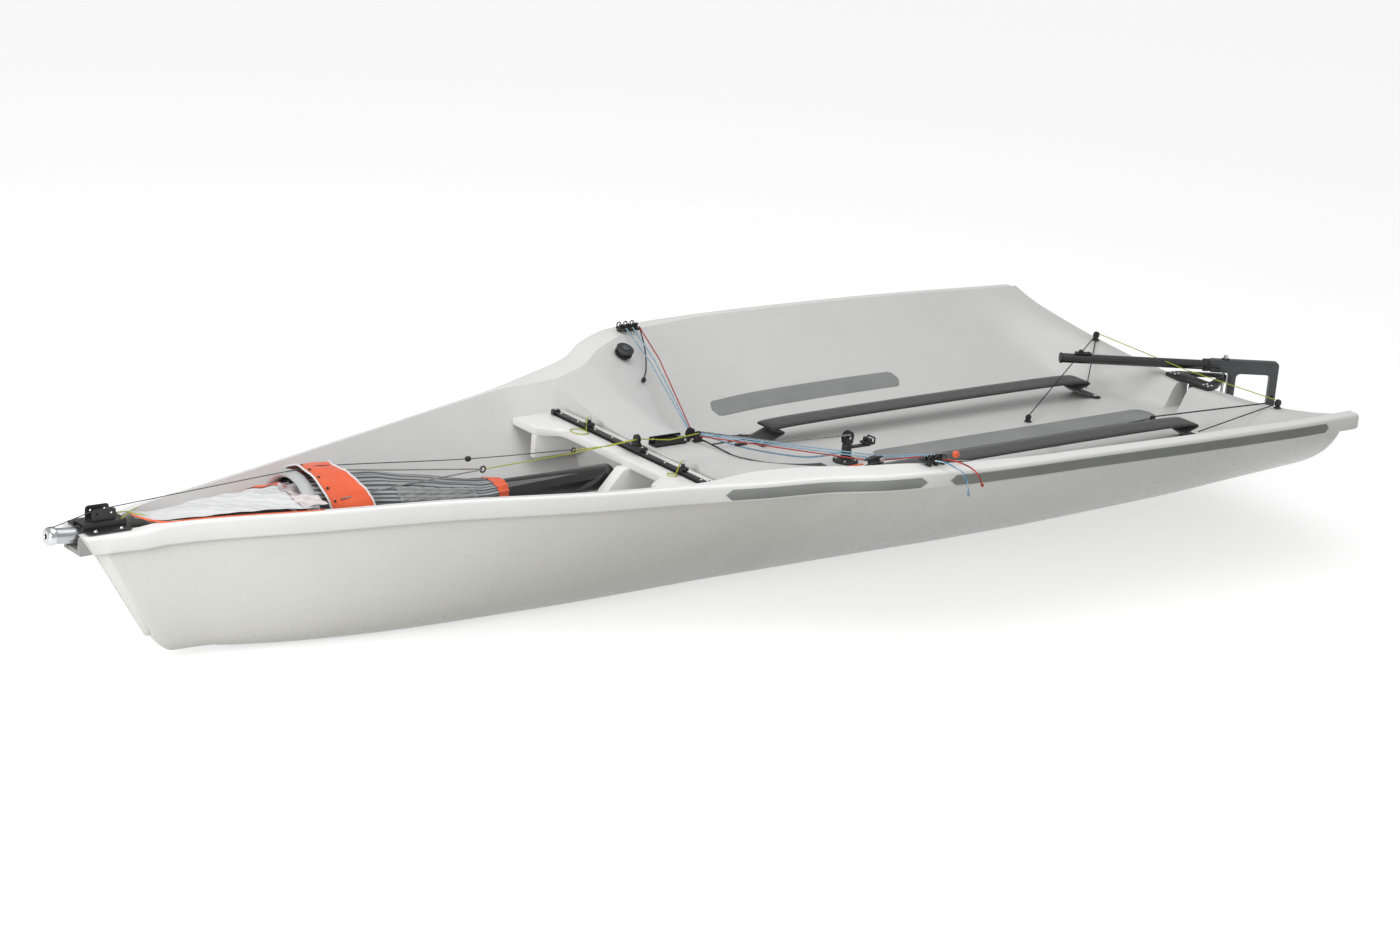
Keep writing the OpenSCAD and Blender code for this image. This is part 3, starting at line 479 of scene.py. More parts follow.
@dataclass(frozen=True)
class Carbon(Finish):
    """Clear-coated woven carbon."""

    def dress(self, s: Shader) -> None:
        """Adds the twill's small squares."""
        c = s.node("ShaderNodeTexChecker", Scale=260.0)
        c.inputs["Color1"].default_value = (0.012, 0.012, 0.013, 1)
        c.inputs["Color2"].default_value = (0.030, 0.030, 0.032, 1)
        s.link(s.coord.outputs["Object"], c.inputs["Vector"])
        s.link(c.outputs["Color"], s.bsdf.inputs["Base Color"])


HULL_GELCOAT = Finish("hull gelcoat", (0.77, 0.77, 0.745), 0.012, (0.26, 0.34), coat=0.25, relief=0.0)
RIM_GELCOAT = Finish("rim gelcoat", (0.80, 0.80, 0.79), 0.012, (0.28, 0.36), coat=0.2, relief=0.0)
# Painted shade: the cockpit deck is toned down to 0.63, darker than the rim and beam of the same moulding,
# for the shade inside the cockpit; the non-skid grain is real.
DECK_GELCOAT_PAINTED_SHADE = NonSkid("deck gelcoat", (0.63, 0.63, 0.625), 0.015, (0.38, 0.5), coat=0.05, relief=0.03)
# Painted shade: a dark grey standing in for the shade inside the daggerboard slot and case and on the bow
# block.
PAINTED_SHADE_LINER = Finish("shaded liner", (0.30, 0.30, 0.295), 0.05, (0.5, 0.6))
PAD_FOAM = Ribbed("grip foam", (0.26, 0.265, 0.265), 0.07, (0.75, 0.9), grain=900.0)
BLACK_METAL = Finish("black anodised metal", (0.018, 0.018, 0.019), 0.25, (0.32, 0.46), grain=1500.0,
                     relief=0.06)
GREY_METAL = Finish("grey anodised metal", (0.085, 0.086, 0.09), 0.1, (0.36, 0.5), metal=0.35, grain=1500.0)
POLE_TUBE = Brushed("anodised tube", (0.50, 0.51, 0.52), 0.03, (0.26, 0.4), metal=1.0)
STAINLESS = Brushed("polished stainless", (0.66, 0.67, 0.68), 0.05, (0.14, 0.28), metal=1.0,
                    stretch=(20, 20, 1))
BLACK_PLASTIC = Finish("black filled plastic", (0.020, 0.020, 0.021), 0.2, (0.42, 0.58), grain=1300.0,
                       relief=0.15)
BLACK_GLOSS = Finish("gloss black tube", (0.008, 0.008, 0.009), 0.2, (0.06, 0.14), coat=0.6, relief=0.01)
CARBON = Carbon("coated carbon", (0.02, 0.02, 0.02), 0.1, (0.2, 0.3), coat=0.6, relief=0.02)
ARCH_TUBE = Finish("grey coated tube", (0.42, 0.43, 0.43), 0.04, (0.35, 0.45), coat=0.1)
ORANGE_CLOTH = Cloth("orange sailcloth", (0.80, 0.115, 0.035), 0.09, (0.6, 0.75), sheen=0.2, relief=0.1)
WHITE_CLOTH = Cloth("pale sailcloth", (0.66, 0.66, 0.665), 0.04, (0.6, 0.75), sheen=0.15, relief=0.1)
ROSE_CLOTH = Cloth("rose spinnaker cloth", (0.62, 0.56, 0.57), 0.07, (0.45, 0.6), sheen=0.2, relief=0.1)
SOCK_MESH = Cloth("grey mesh cloth", (0.24, 0.25, 0.255), 0.06, (0.55, 0.7), relief=0.1, weave=Weave.MESH)
WEBBING = Cloth("black webbing", (0.016, 0.016, 0.017), 0.2, (0.7, 0.85), sheen=0.25, weave=Weave.WEBBING)
WINDOW_FILM = Film("window film", (0.8, 0.8, 0.8), 0.03, (0.05, 0.12))
PLATE_WHITE = Finish("blank plate", (0.72, 0.72, 0.71), 0.03, (0.4, 0.5), relief=0.04)
BLACK_LINE = Braid("black line", (0.012, 0.012, 0.013), 0.1, (0.7, 0.85), fleck=(0.05, 0.05, 0.052))
FLECK_LINE = Braid("black and white line", (0.015, 0.015, 0.016), 0.1, (0.7, 0.85), fleck=(0.62, 0.62, 0.6),
                   share=0.6)
YELLOW_LINE = Braid("yellow and black line", (0.56, 0.60, 0.03), 0.1, (0.7, 0.85), fleck=(0.03, 0.03, 0.02),
                    share=0.8)
BLUE_LINE = Braid("blue and white line", (0.045, 0.24, 0.40), 0.1, (0.7, 0.85), fleck=(0.6, 0.64, 0.66),
                  share=0.7)
RED_LINE = Braid("red and black line", (0.55, 0.055, 0.035), 0.1, (0.7, 0.85), fleck=(0.05, 0.02, 0.02),
                 share=0.75)
WIRE = Finish("stranded wire", (0.10, 0.10, 0.105), 0.2, (0.35, 0.5), metal=0.8, grain=2500.0, relief=0.3)
ORANGE_BALL = Finish("orange plastic", (0.80, 0.12, 0.03), 0.05, (0.3, 0.4), coat=0.2)


# Mesh making

LINES = Lines()


def show(obj: Obj, body: Body, finish: Finish, slot: str, *nodes: str) -> Obj:
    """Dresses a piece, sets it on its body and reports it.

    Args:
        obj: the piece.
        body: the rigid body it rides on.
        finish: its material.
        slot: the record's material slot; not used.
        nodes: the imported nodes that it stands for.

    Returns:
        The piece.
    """
    obj.data.materials.clear()
    obj.data.materials.append(finish.material())
    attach(obj, body.value)
    if nodes:
        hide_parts(*nodes)
    LOG.info("piece %s on %s", obj.name, body.value)
    return obj


def dress(node: str, finish: Finish) -> None:
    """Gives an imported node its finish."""
    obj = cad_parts[node]
    for i in range(max(1, len(obj.data.materials))):
        if i < len(obj.data.materials):
            obj.data.materials[i] = finish.material()
        else:
            obj.data.materials.append(finish.material())
    LOG.info("node %s", node)


def from_bmesh(name: str, bm: bmesh.types.BMesh, angle: float = 38.0) -> Obj:
    """Returns an object made of a bmesh, smooth but for edges sharper than an angle in degrees."""
    bmesh.ops.recalc_face_normals(bm, faces=bm.faces)
    me = bpy.data.meshes.new(name)
    bm.to_mesh(me)
    bm.free()
    me.shade_smooth()
    me.set_sharp_from_angle(angle=math.radians(angle))
    obj = bpy.data.objects.new(name, me)
    bpy.context.scene.collection.objects.link(obj)
    return obj


def surface(name: str, rows: Sequence[Sequence[Point]], closed: bool = False, caps: bool = False,
            skip: Callable[[int, int], bool] | None = None, angle: float = 38.0) -> Obj:
    """Returns a smooth surface through rows of points.

    Args:
        name: the object's name.
        rows: rows of equal length, in millimetres aft of the nose.
        closed: joins each row's last point to its first.
        caps: closes the first and last rows.
        skip: tells which cells (row, column) to leave open.
        angle: edges sharper than this, in degrees, stay sharp.

    Returns:
        The object, with a UV map of share along and share across.
    """
    bm = bmesh.new()
    n, m = len(rows[0]), len(rows)
    vs = [[bm.verts.new(LINES.m(*p)) for p in row] for row in rows]
    uv = bm.loops.layers.uv.new("across")
    cols = n if closed else n - 1
    for i in range(m - 1):
        for j in range(cols):
            if skip and skip(i, j):
                continue
            k = (j + 1) % n
            face = bm.faces.new((vs[i][j], vs[i][k], vs[i + 1][k], vs[i + 1][j]))
            for loop, (a, b) in zip(face.loops, ((i, j), (i, j + 1), (i + 1, j + 1), (i + 1, j))):
                loop[uv].uv = (a / (m - 1), b / cols)
    if caps:
        bm.faces.new(list(reversed(vs[0])))
        bm.faces.new(vs[-1])
    loose = [v for v in bm.verts if not v.link_faces]
    bmesh.ops.delete(bm, geom=loose, context="VERTS")
    bmesh.ops.remove_doubles(bm, verts=bm.verts, dist=1e-6)
    return from_bmesh(name, bm, angle)


def smooth_path(points: Sequence[Point], per: int = 6) -> list[Vector]:
    """Returns a Catmull-Rom curve through the points, with some steps between each two."""
    p = [Vector(q) for q in points]
    p = [p[0] * 2 - p[1]] + p + [p[-1] * 2 - p[-2]]
    out = []
    for a, b, c, d in zip(p, p[1:], p[2:], p[3:]):
        for k in range(per):
            t = k / per
            out.append(0.5 * ((2 * b) + (c - a) * t + (2 * a - 5 * b + 4 * c - d) * t * t
                              + (3 * b - a - 3 * c + d) * t ** 3))
    return out + [p[-2]]


def tube(name: str, points: Sequence[Point], r: float, sides: int = 8, per: int = 0) -> Obj:
    """Returns a round tube along points.

    Args:
        name: the object's name.
        points: the route, in millimetres aft of the nose.
        r: the tube's radius in millimetres.
        sides: flats round the tube.
        per: steps of a smooth curve between points, or 0 for straight runs.

    Returns:
        The tube, capped, with a UV map in tube diameters.
    """
    path = smooth_path(points, per) if per else [Vector(q) for q in points]
    bm = bmesh.new()
    uv = bm.loops.layers.uv.new("along")
    rings, far = [], [0.0]
    side = None
    for i, p in enumerate(path):
        t = (path[min(i + 1, len(path) - 1)] - path[max(i - 1, 0)]).normalized()
        if i:
            far.append(far[-1] + (p - path[i - 1]).length)
        side = t.orthogonal() if side is None else side - t * side.dot(t)
        side.normalize()
        up = t.cross(side)
        rings.append([bm.verts.new(LINES.m(*(p + r * (math.cos(a) * side + math.sin(a) * up))))
                      for a in (math.tau * j / sides for j in range(sides))])
    for i in range(len(rings) - 1):
        for j in range(sides):
            k = (j + 1) % sides
            f = bm.faces.new((rings[i][j], rings[i][k], rings[i + 1][k], rings[i + 1][j]))
            for loop, (a, b) in zip(f.loops, ((i, j), (i, j + 1), (i + 1, j + 1), (i + 1, j))):
                loop[uv].uv = (far[a] / (2 * r), b / sides * 3)
    bm.faces.new(list(reversed(rings[0])))
    bm.faces.new(rings[-1])
    return from_bmesh(name, bm, 60)


def at(x: float, y: float, z: float, rot: Matrix | None = None) -> Matrix:
    """Returns the placing matrix, in metres, of a place in millimetres aft of the nose."""
    return Matrix.Translation(LINES.m(x, y, z)) @ (rot.to_4x4() if rot else Matrix.Identity(4))


def turn(axis: str, degrees: float) -> Matrix:
    """Returns a rotation about a row axis."""
    return Matrix.Rotation(math.radians(degrees), 3, axis)


class Maker:
    """Collects small solids, each in millimetres in its own place, into one piece."""

    def __init__(self, place: Matrix | None = None) -> None:
        """Args:
        place: where the piece's own zero is, in metres.
        """
        self.bm = bmesh.new()
        self.place = place or Matrix.Identity(4)

    def _take(self, part: bmesh.types.BMesh, local: Matrix) -> None:
        """Scales a part to metres, places it and adds it."""
        part.transform(self.place @ local @ Matrix.Scale(0.001, 4))
        me = bpy.data.meshes.new("part")
        part.to_mesh(me)
        part.free()
        self.bm.from_mesh(me)
        bpy.data.meshes.remove(me)

    def where(self, x: float, y: float, z: float, rot: Matrix | None = None) -> Matrix:
        """Returns a local matrix for a place in millimetres."""
        return Matrix.Translation(Vector((x, y, z)) / 1000) @ (rot.to_4x4() if rot else Matrix.Identity(4))

    def block(self, size: Point, where: Matrix, round_by: float = 1.5, steps: int = 2) -> "Maker":
        """Adds a block with rounded edges; returns self."""
        part = bmesh.new()
        bmesh.ops.create_cube(part, size=1.0)
        bmesh.ops.scale(part, vec=size, verts=part.verts)
        if round_by:
            bmesh.ops.bevel(part, geom=part.edges[:], offset=round_by, segments=steps, affect="EDGES",
                            profile=0.5)
        self._take(part, where)
        return self

    def lathe(self, profile: Sequence[tuple[float, float]], where: Matrix, sides: int = 32) -> "Maker":
        """Adds a body turned about its own Z from (radius, height) pairs; returns self."""
        part = bmesh.new()
        rings = [[part.verts.new((r * math.cos(a), r * math.sin(a), h))
                  for a in (math.tau * j / sides for j in range(sides))]
                 for r, h in profile]
        for a, b in zip(rings, rings[1:]):
            for j in range(sides):
                k = (j + 1) % sides
                part.faces.new((a[j], a[k], b[k], b[j]))
        part.faces.new(list(reversed(rings[0])))
        part.faces.new(rings[-1])
        self._take(part, where)
        return self

    def plate(self, outline: Sequence[Flat], thick: float, where: Matrix, round_by: float = 0.8,
              holes: Sequence[Sequence[Flat]] = ()) -> "Maker":
        """Adds a flat plate, thick along its own Z; returns self.

        Args:
            outline: its edge in its own XY.
            thick: its thickness.
            where: its local matrix.
            round_by: how far its edges are rounded.
            holes: the edges of the holes through it.
        """
        part = bmesh.new()
        edges = []
        for loop in (outline, *holes):
            vs = [part.verts.new((x, y, 0)) for x, y in loop]
            edges += [part.edges.new((p, q)) for p, q in zip(vs, vs[1:] + vs[:1])]
        bmesh.ops.triangle_fill(part, use_beauty=True, edges=edges)
        up = bmesh.ops.extrude_face_region(part, geom=part.faces[:])
        bmesh.ops.translate(part, vec=(0, 0, thick),
                            verts=[v for v in up["geom"] if isinstance(v, bmesh.types.BMVert)])
        bmesh.ops.recalc_face_normals(part, faces=part.faces)
        if round_by:
            rim = [e for e in part.edges if len(e.link_faces) == 2 and e.calc_face_angle(0) > 0.9
                   and abs(e.verts[0].co.z - e.verts[1].co.z) < thick / 2]
            bmesh.ops.bevel(part, geom=rim, offset=round_by, segments=2, affect="EDGES", profile=0.5)
        self._take(part, where)
        return self

    def collar(self, profile: Sequence[Flat], where: Matrix, sides: int = 36) -> "Maker":
        """Adds a ring turned about its own Z from a closed loop of (radius, height) pairs; returns self."""
        part = bmesh.new()
        rings = [[part.verts.new((r * math.cos(a), r * math.sin(a), h))
                  for a in (math.tau * j / sides for j in range(sides))]
                 for r, h in profile]
        for a, b in zip(rings, rings[1:] + rings[:1]):
            for j in range(sides):
                k = (j + 1) % sides
                part.faces.new((a[j], a[k], b[k], b[j]))
        self._take(part, where)
        return self

    def bolt(self, r: float, where: Matrix) -> "Maker":
        """Adds a low domed bolt head with a hexagon recess; returns self."""
        self.lathe([(r, 0), (r, 0.25 * r), (0.85 * r, 0.55 * r), (0.5 * r, 0.72 * r), (0.45 * r, 0.72 * r),
                    (0.42 * r, 0.35 * r), (0.02, 0.33 * r)], where, 18)
        return self

    def ring(self, r: float, wire: float, where: Matrix, sides: int = 24) -> "Maker":
        """Adds a wire ring about its own Z; returns self."""
        part = bmesh.new()
        rings = []
        for a in (math.tau * j / sides for j in range(sides)):
            c = Vector((math.cos(a), math.sin(a), 0))
            rings.append([part.verts.new(c * (r + wire * math.cos(b)) + Vector((0, 0, wire * math.sin(b))))
                          for b in (math.tau * k / 8 for k in range(8))])
        for i in range(sides):
            for k in range(8):
                a, b = rings[i], rings[(i + 1) % sides]
                part.faces.new((a[k], a[(k + 1) % 8], b[(k + 1) % 8], b[k]))
        self._take(part, where)
        return self

    def sheave(self, r: float, w: float, where: Matrix) -> "Maker":
        """Adds a small block: two cheeks, a grooved wheel and a pin, about its own Z; returns self."""
        h = w / 2
        self.lathe([(r * 0.45, -h), (r * 0.8, -h), (r, -h * 0.75), (r, -h * 0.5), (r * 0.7, -h * 0.45),
                    (r * 0.62, 0), (r * 0.7, h * 0.45), (r, h * 0.5), (r, h * 0.75), (r * 0.8, h),
                    (r * 0.45, h)], where, 28)
        self.lathe([(r * 0.3, -h * 1.2), (r * 0.3, h * 1.2)], where, 18)
        return self

    def done(self, name: str, angle: float = 38.0) -> Obj:
        """Returns the finished piece."""
        return from_bmesh(name, self.bm, angle)


# Studio


@dataclass
class Studio:
    """Pale floor, plain soft light and the camera."""

    eye: Point = (6.76777, 8.08450, 3.63305)
    yaw: float = -129.429
    pitch: float = -17.523
    roll: float = 5.070
    lens: float = 90.05

    def camera(self) -> None:
        """Makes the scene's camera."""
        yaw, pitch, roll = (math.radians(a) for a in (self.yaw, self.pitch, self.roll))
        ahead = Vector((math.cos(pitch) * math.cos(yaw), math.cos(pitch) * math.sin(yaw), math.sin(pitch)))
        right = ahead.cross(Vector((0, 0, 1))).normalized()
        up = right.cross(ahead)
        r = right * math.cos(roll) + up * math.sin(roll)
        u = up * math.cos(roll) - right * math.sin(roll)
        data = bpy.data.cameras.new("camera")
        data.lens, data.sensor_width, data.clip_end = self.lens, 36.0, 200.0
        cam = bpy.data.objects.new("camera", data)
        cam.matrix_world = Matrix(((r.x, u.x, -ahead.x, self.eye[0]), (r.y, u.y, -ahead.y, self.eye[1]),
                                   (r.z, u.z, -ahead.z, self.eye[2]), (0, 0, 0, 1)))
        bpy.context.scene.collection.objects.link(cam)
        bpy.context.scene.camera = cam

    def lamp(self, name: str, place: Point, aim: Point, size: float, watts: float) -> None:
        """Adds a square soft lamp.

        Args:
            name: its name.
            place: where it hangs, in metres.
            aim: the point it faces.
            size: its side in metres.
            watts: its power.
        """
        data = bpy.data.lights.new(name, "AREA")
        data.shape, data.size, data.energy = "SQUARE", size, watts
        lamp = bpy.data.objects.new(name, data)
        lamp.location = place
        lamp.rotation_euler = (Vector(aim) - Vector(place)).to_track_quat("-Z", "Y").to_euler()
        bpy.context.scene.collection.objects.link(lamp)

    def floor(self) -> None:
        """Makes the floor: white to the camera with the boat's shadow, darker for the light it throws."""
        bm = bmesh.new()
        bmesh.ops.create_grid(bm, x_segments=1, y_segments=1, size=60.0)
        obj = from_bmesh("floor", bm)
        obj.location.z = -0.001
        s = Shader("pale floor")
        s.tree.nodes.remove(s.bsdf)
        seen = s.node("ShaderNodeBsdfDiffuse", Color=(0.5, 0.5, 0.5, 1))
        lift = s.node("ShaderNodeEmission", Color=(1, 1, 1, 1), Strength=0.66)
        shown = s.node("ShaderNodeAddShader")
        s.link(seen.outputs[0], shown.inputs[0])
        s.link(lift.outputs[0], shown.inputs[1])
        thrown = s.node("ShaderNodeBsdfDiffuse", Color=(0.40, 0.405, 0.36, 1))
        path = s.node("ShaderNodeLightPath")
        add = s.node("ShaderNodeMath")
        add.operation = "MAXIMUM"
        more = s.node("ShaderNodeMath")
        more.operation = "MAXIMUM"
        s.link(path.outputs["Is Camera Ray"], add.inputs[0])
        s.link(path.outputs["Is Glossy Ray"], add.inputs[1])
        s.link(add.outputs[0], more.inputs[0])
        s.link(path.outputs["Is Transmission Ray"], more.inputs[1])
        both = s.node("ShaderNodeMixShader")
        s.link(more.outputs[0], both.inputs[0])
        s.link(thrown.outputs[0], both.inputs[1])
        s.link(shown.outputs[0], both.inputs[2])
        out = next(n for n in s.tree.nodes if n.type == "OUTPUT_MATERIAL")
        s.link(both.outputs[0], out.inputs["Surface"])
        obj.data.materials.append(s.mat)

    def world(self) -> None:
        """Makes the surroundings: white to the camera, a soft even sky for light."""
        world = bpy.data.worlds.new("studio")
        bpy.context.scene.world = world
        world.use_nodes = True
        tree = world.node_tree
        back = next(n for n in tree.nodes if n.type == "BACKGROUND")
        back.inputs["Color"].default_value = (1, 1, 1, 1)
        back.inputs["Strength"].default_value = 0.53
        seen = tree.nodes.new("ShaderNodeBackground")
        seen.inputs["Strength"].default_value = 1.0
        path = tree.nodes.new("ShaderNodeLightPath")
        both = tree.nodes.new("ShaderNodeMixShader")
        tree.links.new(path.outputs["Is Camera Ray"], both.inputs[0])
        tree.links.new(back.outputs[0], both.inputs[1])
        tree.links.new(seen.outputs[0], both.inputs[2])
        out = next(n for n in tree.nodes if n.type == "OUTPUT_WORLD")
        tree.links.new(both.outputs[0], out.inputs["Surface"])

    def build(self) -> None:
        """Makes the camera, floor, surroundings and lamps."""
        self.camera()
        self.floor()
        self.world()
        self.lamp("top light", (0.4, 0.6, 4.6), (0, 0, 0.3), 4.6, 105)
        self.lamp("bow light", (5.2, 1.6, 1.6), (1.6, 0, 0.3), 1.8, 120)
        bpy.context.scene.view_settings.view_transform = "Standard"


# Free rope


@dataclass
class FreeRopes:
    """The hank of halyard on the port wing and two short tails over the port gunwale."""

    radius: float = 2.5
    hank_x: tuple[float, float] = (-2537, -2802)
    hank_y: float = 733
    hank_half: float = 30
    hank_lift: float = 4
    blue: Sequence[Point] = ((-2470, 790, 552), (-2478, 820, 556), (-2490, 850, 551), (-2500, 874, 541),
                             (-2506, 890, 526), (-2510, 896, 508), (-2514, 898, 490), (-2518, 898, 474))
    red: Sequence[Point] = ((-2500, 790, 552), (-2512, 818, 557), (-2530, 848, 553), (-2546, 874, 543),
                            (-2556, 892, 528), (-2562, 899, 512), (-2568, 901, 498))

    def rope(self, name: str, path: Sequence[Point], finish: Finish, slot: str, node: str) -> None:
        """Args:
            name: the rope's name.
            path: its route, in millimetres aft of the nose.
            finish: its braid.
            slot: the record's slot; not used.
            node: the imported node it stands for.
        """
        pts = [LINES.m(*p) for p in path]
        data = bpy.data.curves.new(name, "CURVE")
        data.dimensions = "3D"
        data.bevel_depth = self.radius / 1000
        data.bevel_resolution = 2
        data.use_fill_caps = True
        spline = data.splines.new("POLY")
        spline.points.add(len(pts) - 1)
        for sp, p in zip(spline.points, pts):
            sp.co = (*p, 1)
        obj = bpy.data.objects.new(name, data)
        bpy.context.scene.collection.objects.link(obj)
        show(obj, Body.HULL, finish, slot, node)

    def knot(self, name: str, end: Point, finish: Finish, slot: str) -> Obj:
        """Makes a stopper knot: two short lapped turns round a rope's end."""
        turns = []
        for k in range(29):
            a = math.tau * 2.2 * k / 28
            r = self.radius * 1.25
            turns.append((end[0] + r * math.cos(a), end[1] + r * math.sin(a), end[2] - 4 + 8 * k / 28))
        obj = tube(name, turns, self.radius * 0.85, 8)
        return show(obj, Body.HULL, finish, slot)

    def racetrack(self) -> list[Point]:
        """Returns the hank's route: three flat layers of long turns, each a rope's width apart."""
        out = []
        step = self.radius * 2 + 0.6
        mid = sum(self.hank_x) / 2
        wide = self.hank_half - self.radius - 0.6
        straight = (self.hank_x[0] - self.hank_x[1]) / 2 - self.hank_half - 4
        turns, per = 9, 36
        for k in range(turns * per + 1):
            t = k / per
            layer = min(int(t / 3), 2)
            inside = t - 3 * layer
            depth = inside if layer % 2 == 0 else 3 - inside
            half = wide - step * depth
            rise = layer + (ease((inside - 2.7) / 0.3) if layer < 2 and inside > 2.7 else 0)
            a = math.tau * t
            x = mid + straight * max(-1.0, min(1.0, 1.35 * math.cos(a))) + half * math.cos(a)
            y = self.hank_y + half * math.sin(a)
            z = LINES.deck_z(LINES.station(x), y) + self.hank_lift + self.radius + rise * (step + 0.4)
            out.append((x, y, z))
        return out

    def build(self) -> None:
        """Makes the hank and both tails with their knots."""
        for name, path, finish, slot in (("tail_blue", self.blue, BLUE_LINE, "blue_rope"),
                                         ("tail_red", self.red, RED_LINE, "red_rope")):
            route = [tuple(p) for p in smooth_path(path, 4)]
            knot = self.knot(name + "_knot", route[-1], finish, slot)
            self.rope(name + "_line", route, finish, slot, name)
        route = self.racetrack()
        knot = self.knot("halyard_knot", route[-1], FLECK_LINE, "fleck_rope")
        self.rope("halyard", route, FLECK_LINE, "fleck_rope", "halyard_hank")


# Hull, deck and gunwales


@dataclass
class Shell:
    """Hull bottom, transom, deck and the two gunwale bands."""

    lines: Lines
    sides: int = 26
    deck_cols: int = 34
    foot_r: float = 55

    def stations(self, first: float = 2.0) -> list[float]:
        """Returns the stations of the lofts, close together where the shape turns fast."""
        lo, hi = self.board_span()
        marks = {2.0, 2.5, 3.0, 3.5, STEP_ABOVE, STEP_BELOW, lo, hi, 100.0, 99.7}
        marks |= {2.0 + 0.75 * i for i in range(130) if 2.0 + 0.75 * i < 96}
        marks |= {96 + 0.25 * i for i in range(15)}
        marks |= {46 + 0.5 * i for i in range(30)}
        marks |= {2.08, 2.2, 2.35, 2.6, 2.8, 3.0, 3.2}
        keep = sorted(s for s in marks if s >= first)
        return [s for i, s in enumerate(keep)
                if i == 0 or s - keep[i - 1] > 0.06 or s in (lo, hi, STEP_BELOW, STEP_ABOVE)]

    def board_span(self) -> tuple[float, float]:
        """Returns the stations of the daggerboard slot's ends."""
        half = 50 * self.lines.board_l / self.lines.hull_len
        return 57.5 - half, 57.5 + half

    def both(self, half: Sequence[Point]) -> list[Point]:
        """Returns a full section, port to starboard, from its port half, middle first."""
        return [p for p in reversed(half[1:])] + [(x, -y, z) for x, y, z in half]

    def bottom_half(self, st: float) -> list[Point]:
        """Returns the port half of a bottom section."""
        b = self.lines
        flat = b.keel_flat(st)
        pts = [(0.0, b.keel_z(st)), (min(b.board_w / 2, flat * 0.6), b.keel_z(st))]
        pts += [b.bottom(st, k / self.sides) for k in range(self.sides + 1)]
        top = b.sheer_h(st) - b.rim_b(st)
        low = b.keel_z(st)
        ahead = max(0.0, self.foot_r - b.hull_len * (st - 2) / 100)
        lift = self.foot_r - math.sqrt(self.foot_r ** 2 - ahead ** 2)
        pts = [(y, mix(low + lift, top, (z - low) / (top - low))) for y, z in pts]
        return [(b.x_at(st, y, (z - low) / (top - low)), y, z) for y, z in pts]

    def deck_half(self, st: float) -> list[Point]:
        """Returns the port half of a deck section with its corners eased."""
        b = self.lines
        raw = b.deck_raw(st)
        w = raw[2][0]
        edge = [(0.0, raw[0][1]), (min(b.board_w / 2, w * 0.55), raw[0][1]), raw[1], raw[2]]
        poly = raw[2:]
        far = [0.0]
        for p, q in zip(poly, poly[1:]):
            far.append(far[-1] + math.hypot(q[0] - p[0], q[1] - p[1]))
        n = self.deck_cols
        ys = [(d, p[0]) for d, p in zip(far, poly)]
        zs = [(d, p[1]) for d, p in zip(far, poly)]
        pts = [(lookup(far[-1] * i / n, ys), lookup(far[-1] * i / n, zs)) for i in range(n + 1)]
        for _ in range(4):
            pts = [pts[0]] + [((p[0] + 2 * q[0] + r[0]) / 4, (p[1] + 2 * q[1] + r[1]) / 4)
                              for p, q, r in zip(pts, pts[1:], pts[2:])] + [pts[-1]]
        return [(b.x_at(st, y), y, h) for y, h in edge + pts[1:]]

    def bottom(self) -> Obj:
        """Makes the hull's outside with its rounded stem and the daggerboard slot."""
        rows = []
        first = self.bottom_half(2.0)
        for u in (1.0, 0.94, 0.8, 0.55, 0.28):
            shrink = math.sqrt(max(0.0, 1 - u * u))
            rows.append(self.both([(x + 16 * u, y * max(shrink, 0.02), z) for x, y, z in first]))
        sts = self.stations()
        rows += [self.both(self.bottom_half(s)) for s in sts]
        rows += self.transom_rows()
        lead, mid = 5, self.sides + 2
        lo, hi = self.board_span()

        def skip(i: int, j: int) -> bool:
            """Tells whether a cell lies in the slot."""
            k = i - lead
            inside = 0 <= k < len(sts) - 1 and sts[k] >= lo - 1e-6 and sts[k + 1] <= hi + 1e-6
            return inside and j in (mid - 1, mid)

        return surface("hull_shell", rows, skip=skip, angle=32)

    def transom_rows(self) -> list[list[Point]]:
        """Returns the rows that carry the bottom's last section up to the top of the transom wall."""
        b = self.lines
        half = self.bottom_half(100.0)
        top = []
        for x, y, z in half:
            high = b.deck_z(100, y) if y < b.sheer_y(100) - b.rim_w(100) else b.sheer_h(100) - 12
            if y < b.slot_w / 2 + 2:
                high = b.floor_z
            top.append((x, y, max(z, high)))
        return [self.both([(x - (3 if 0 < t < 1 else 0), y, mix(z, h, t))
                           for (x, y, z), (_, _, h) in zip(half, top)])
                for t in (0.03, 0.25, 0.5, 0.75, 0.97, 1.0)]

    def deck(self) -> Obj:
        """Makes the deck, cockpit and transom wall with the daggerboard slot."""
        sts = self.stations()
        rows = [self.both(self.deck_half(s)) for s in sts]
        mid = self.deck_cols + 3
        lo, hi = self.board_span()

        def skip(i: int, j: int) -> bool:
            """Tells whether a cell lies in the slot."""
            return sts[i] >= lo - 1e-6 and sts[i + 1] <= hi + 1e-6 and j in (mid - 1, mid)

        return surface("deck_shell", rows, skip=skip, angle=50)

    def slot_wall(self) -> Obj:
        """Makes the slot's wall between the deck and the bottom."""
        b = self.lines
        lo, hi = self.board_span()
        way = [mix(lo, hi, i / 24) for i in range(25)]
        loop = [(b.x_at(s), b.board_w / 2, s) for s in way]
        loop += [(b.x_at(s), -b.board_w / 2, s) for s in reversed(way)]
        rows = [[(x, y, b.deck_z(s, 0)) for x, y, s in loop],
                [(x, y, b.deck_z(s, 0) - 22) for x, y, s in loop],
                [(x, y, 0.0) for x, y, s in loop]]
        return surface("slot_wall", rows, closed=True)

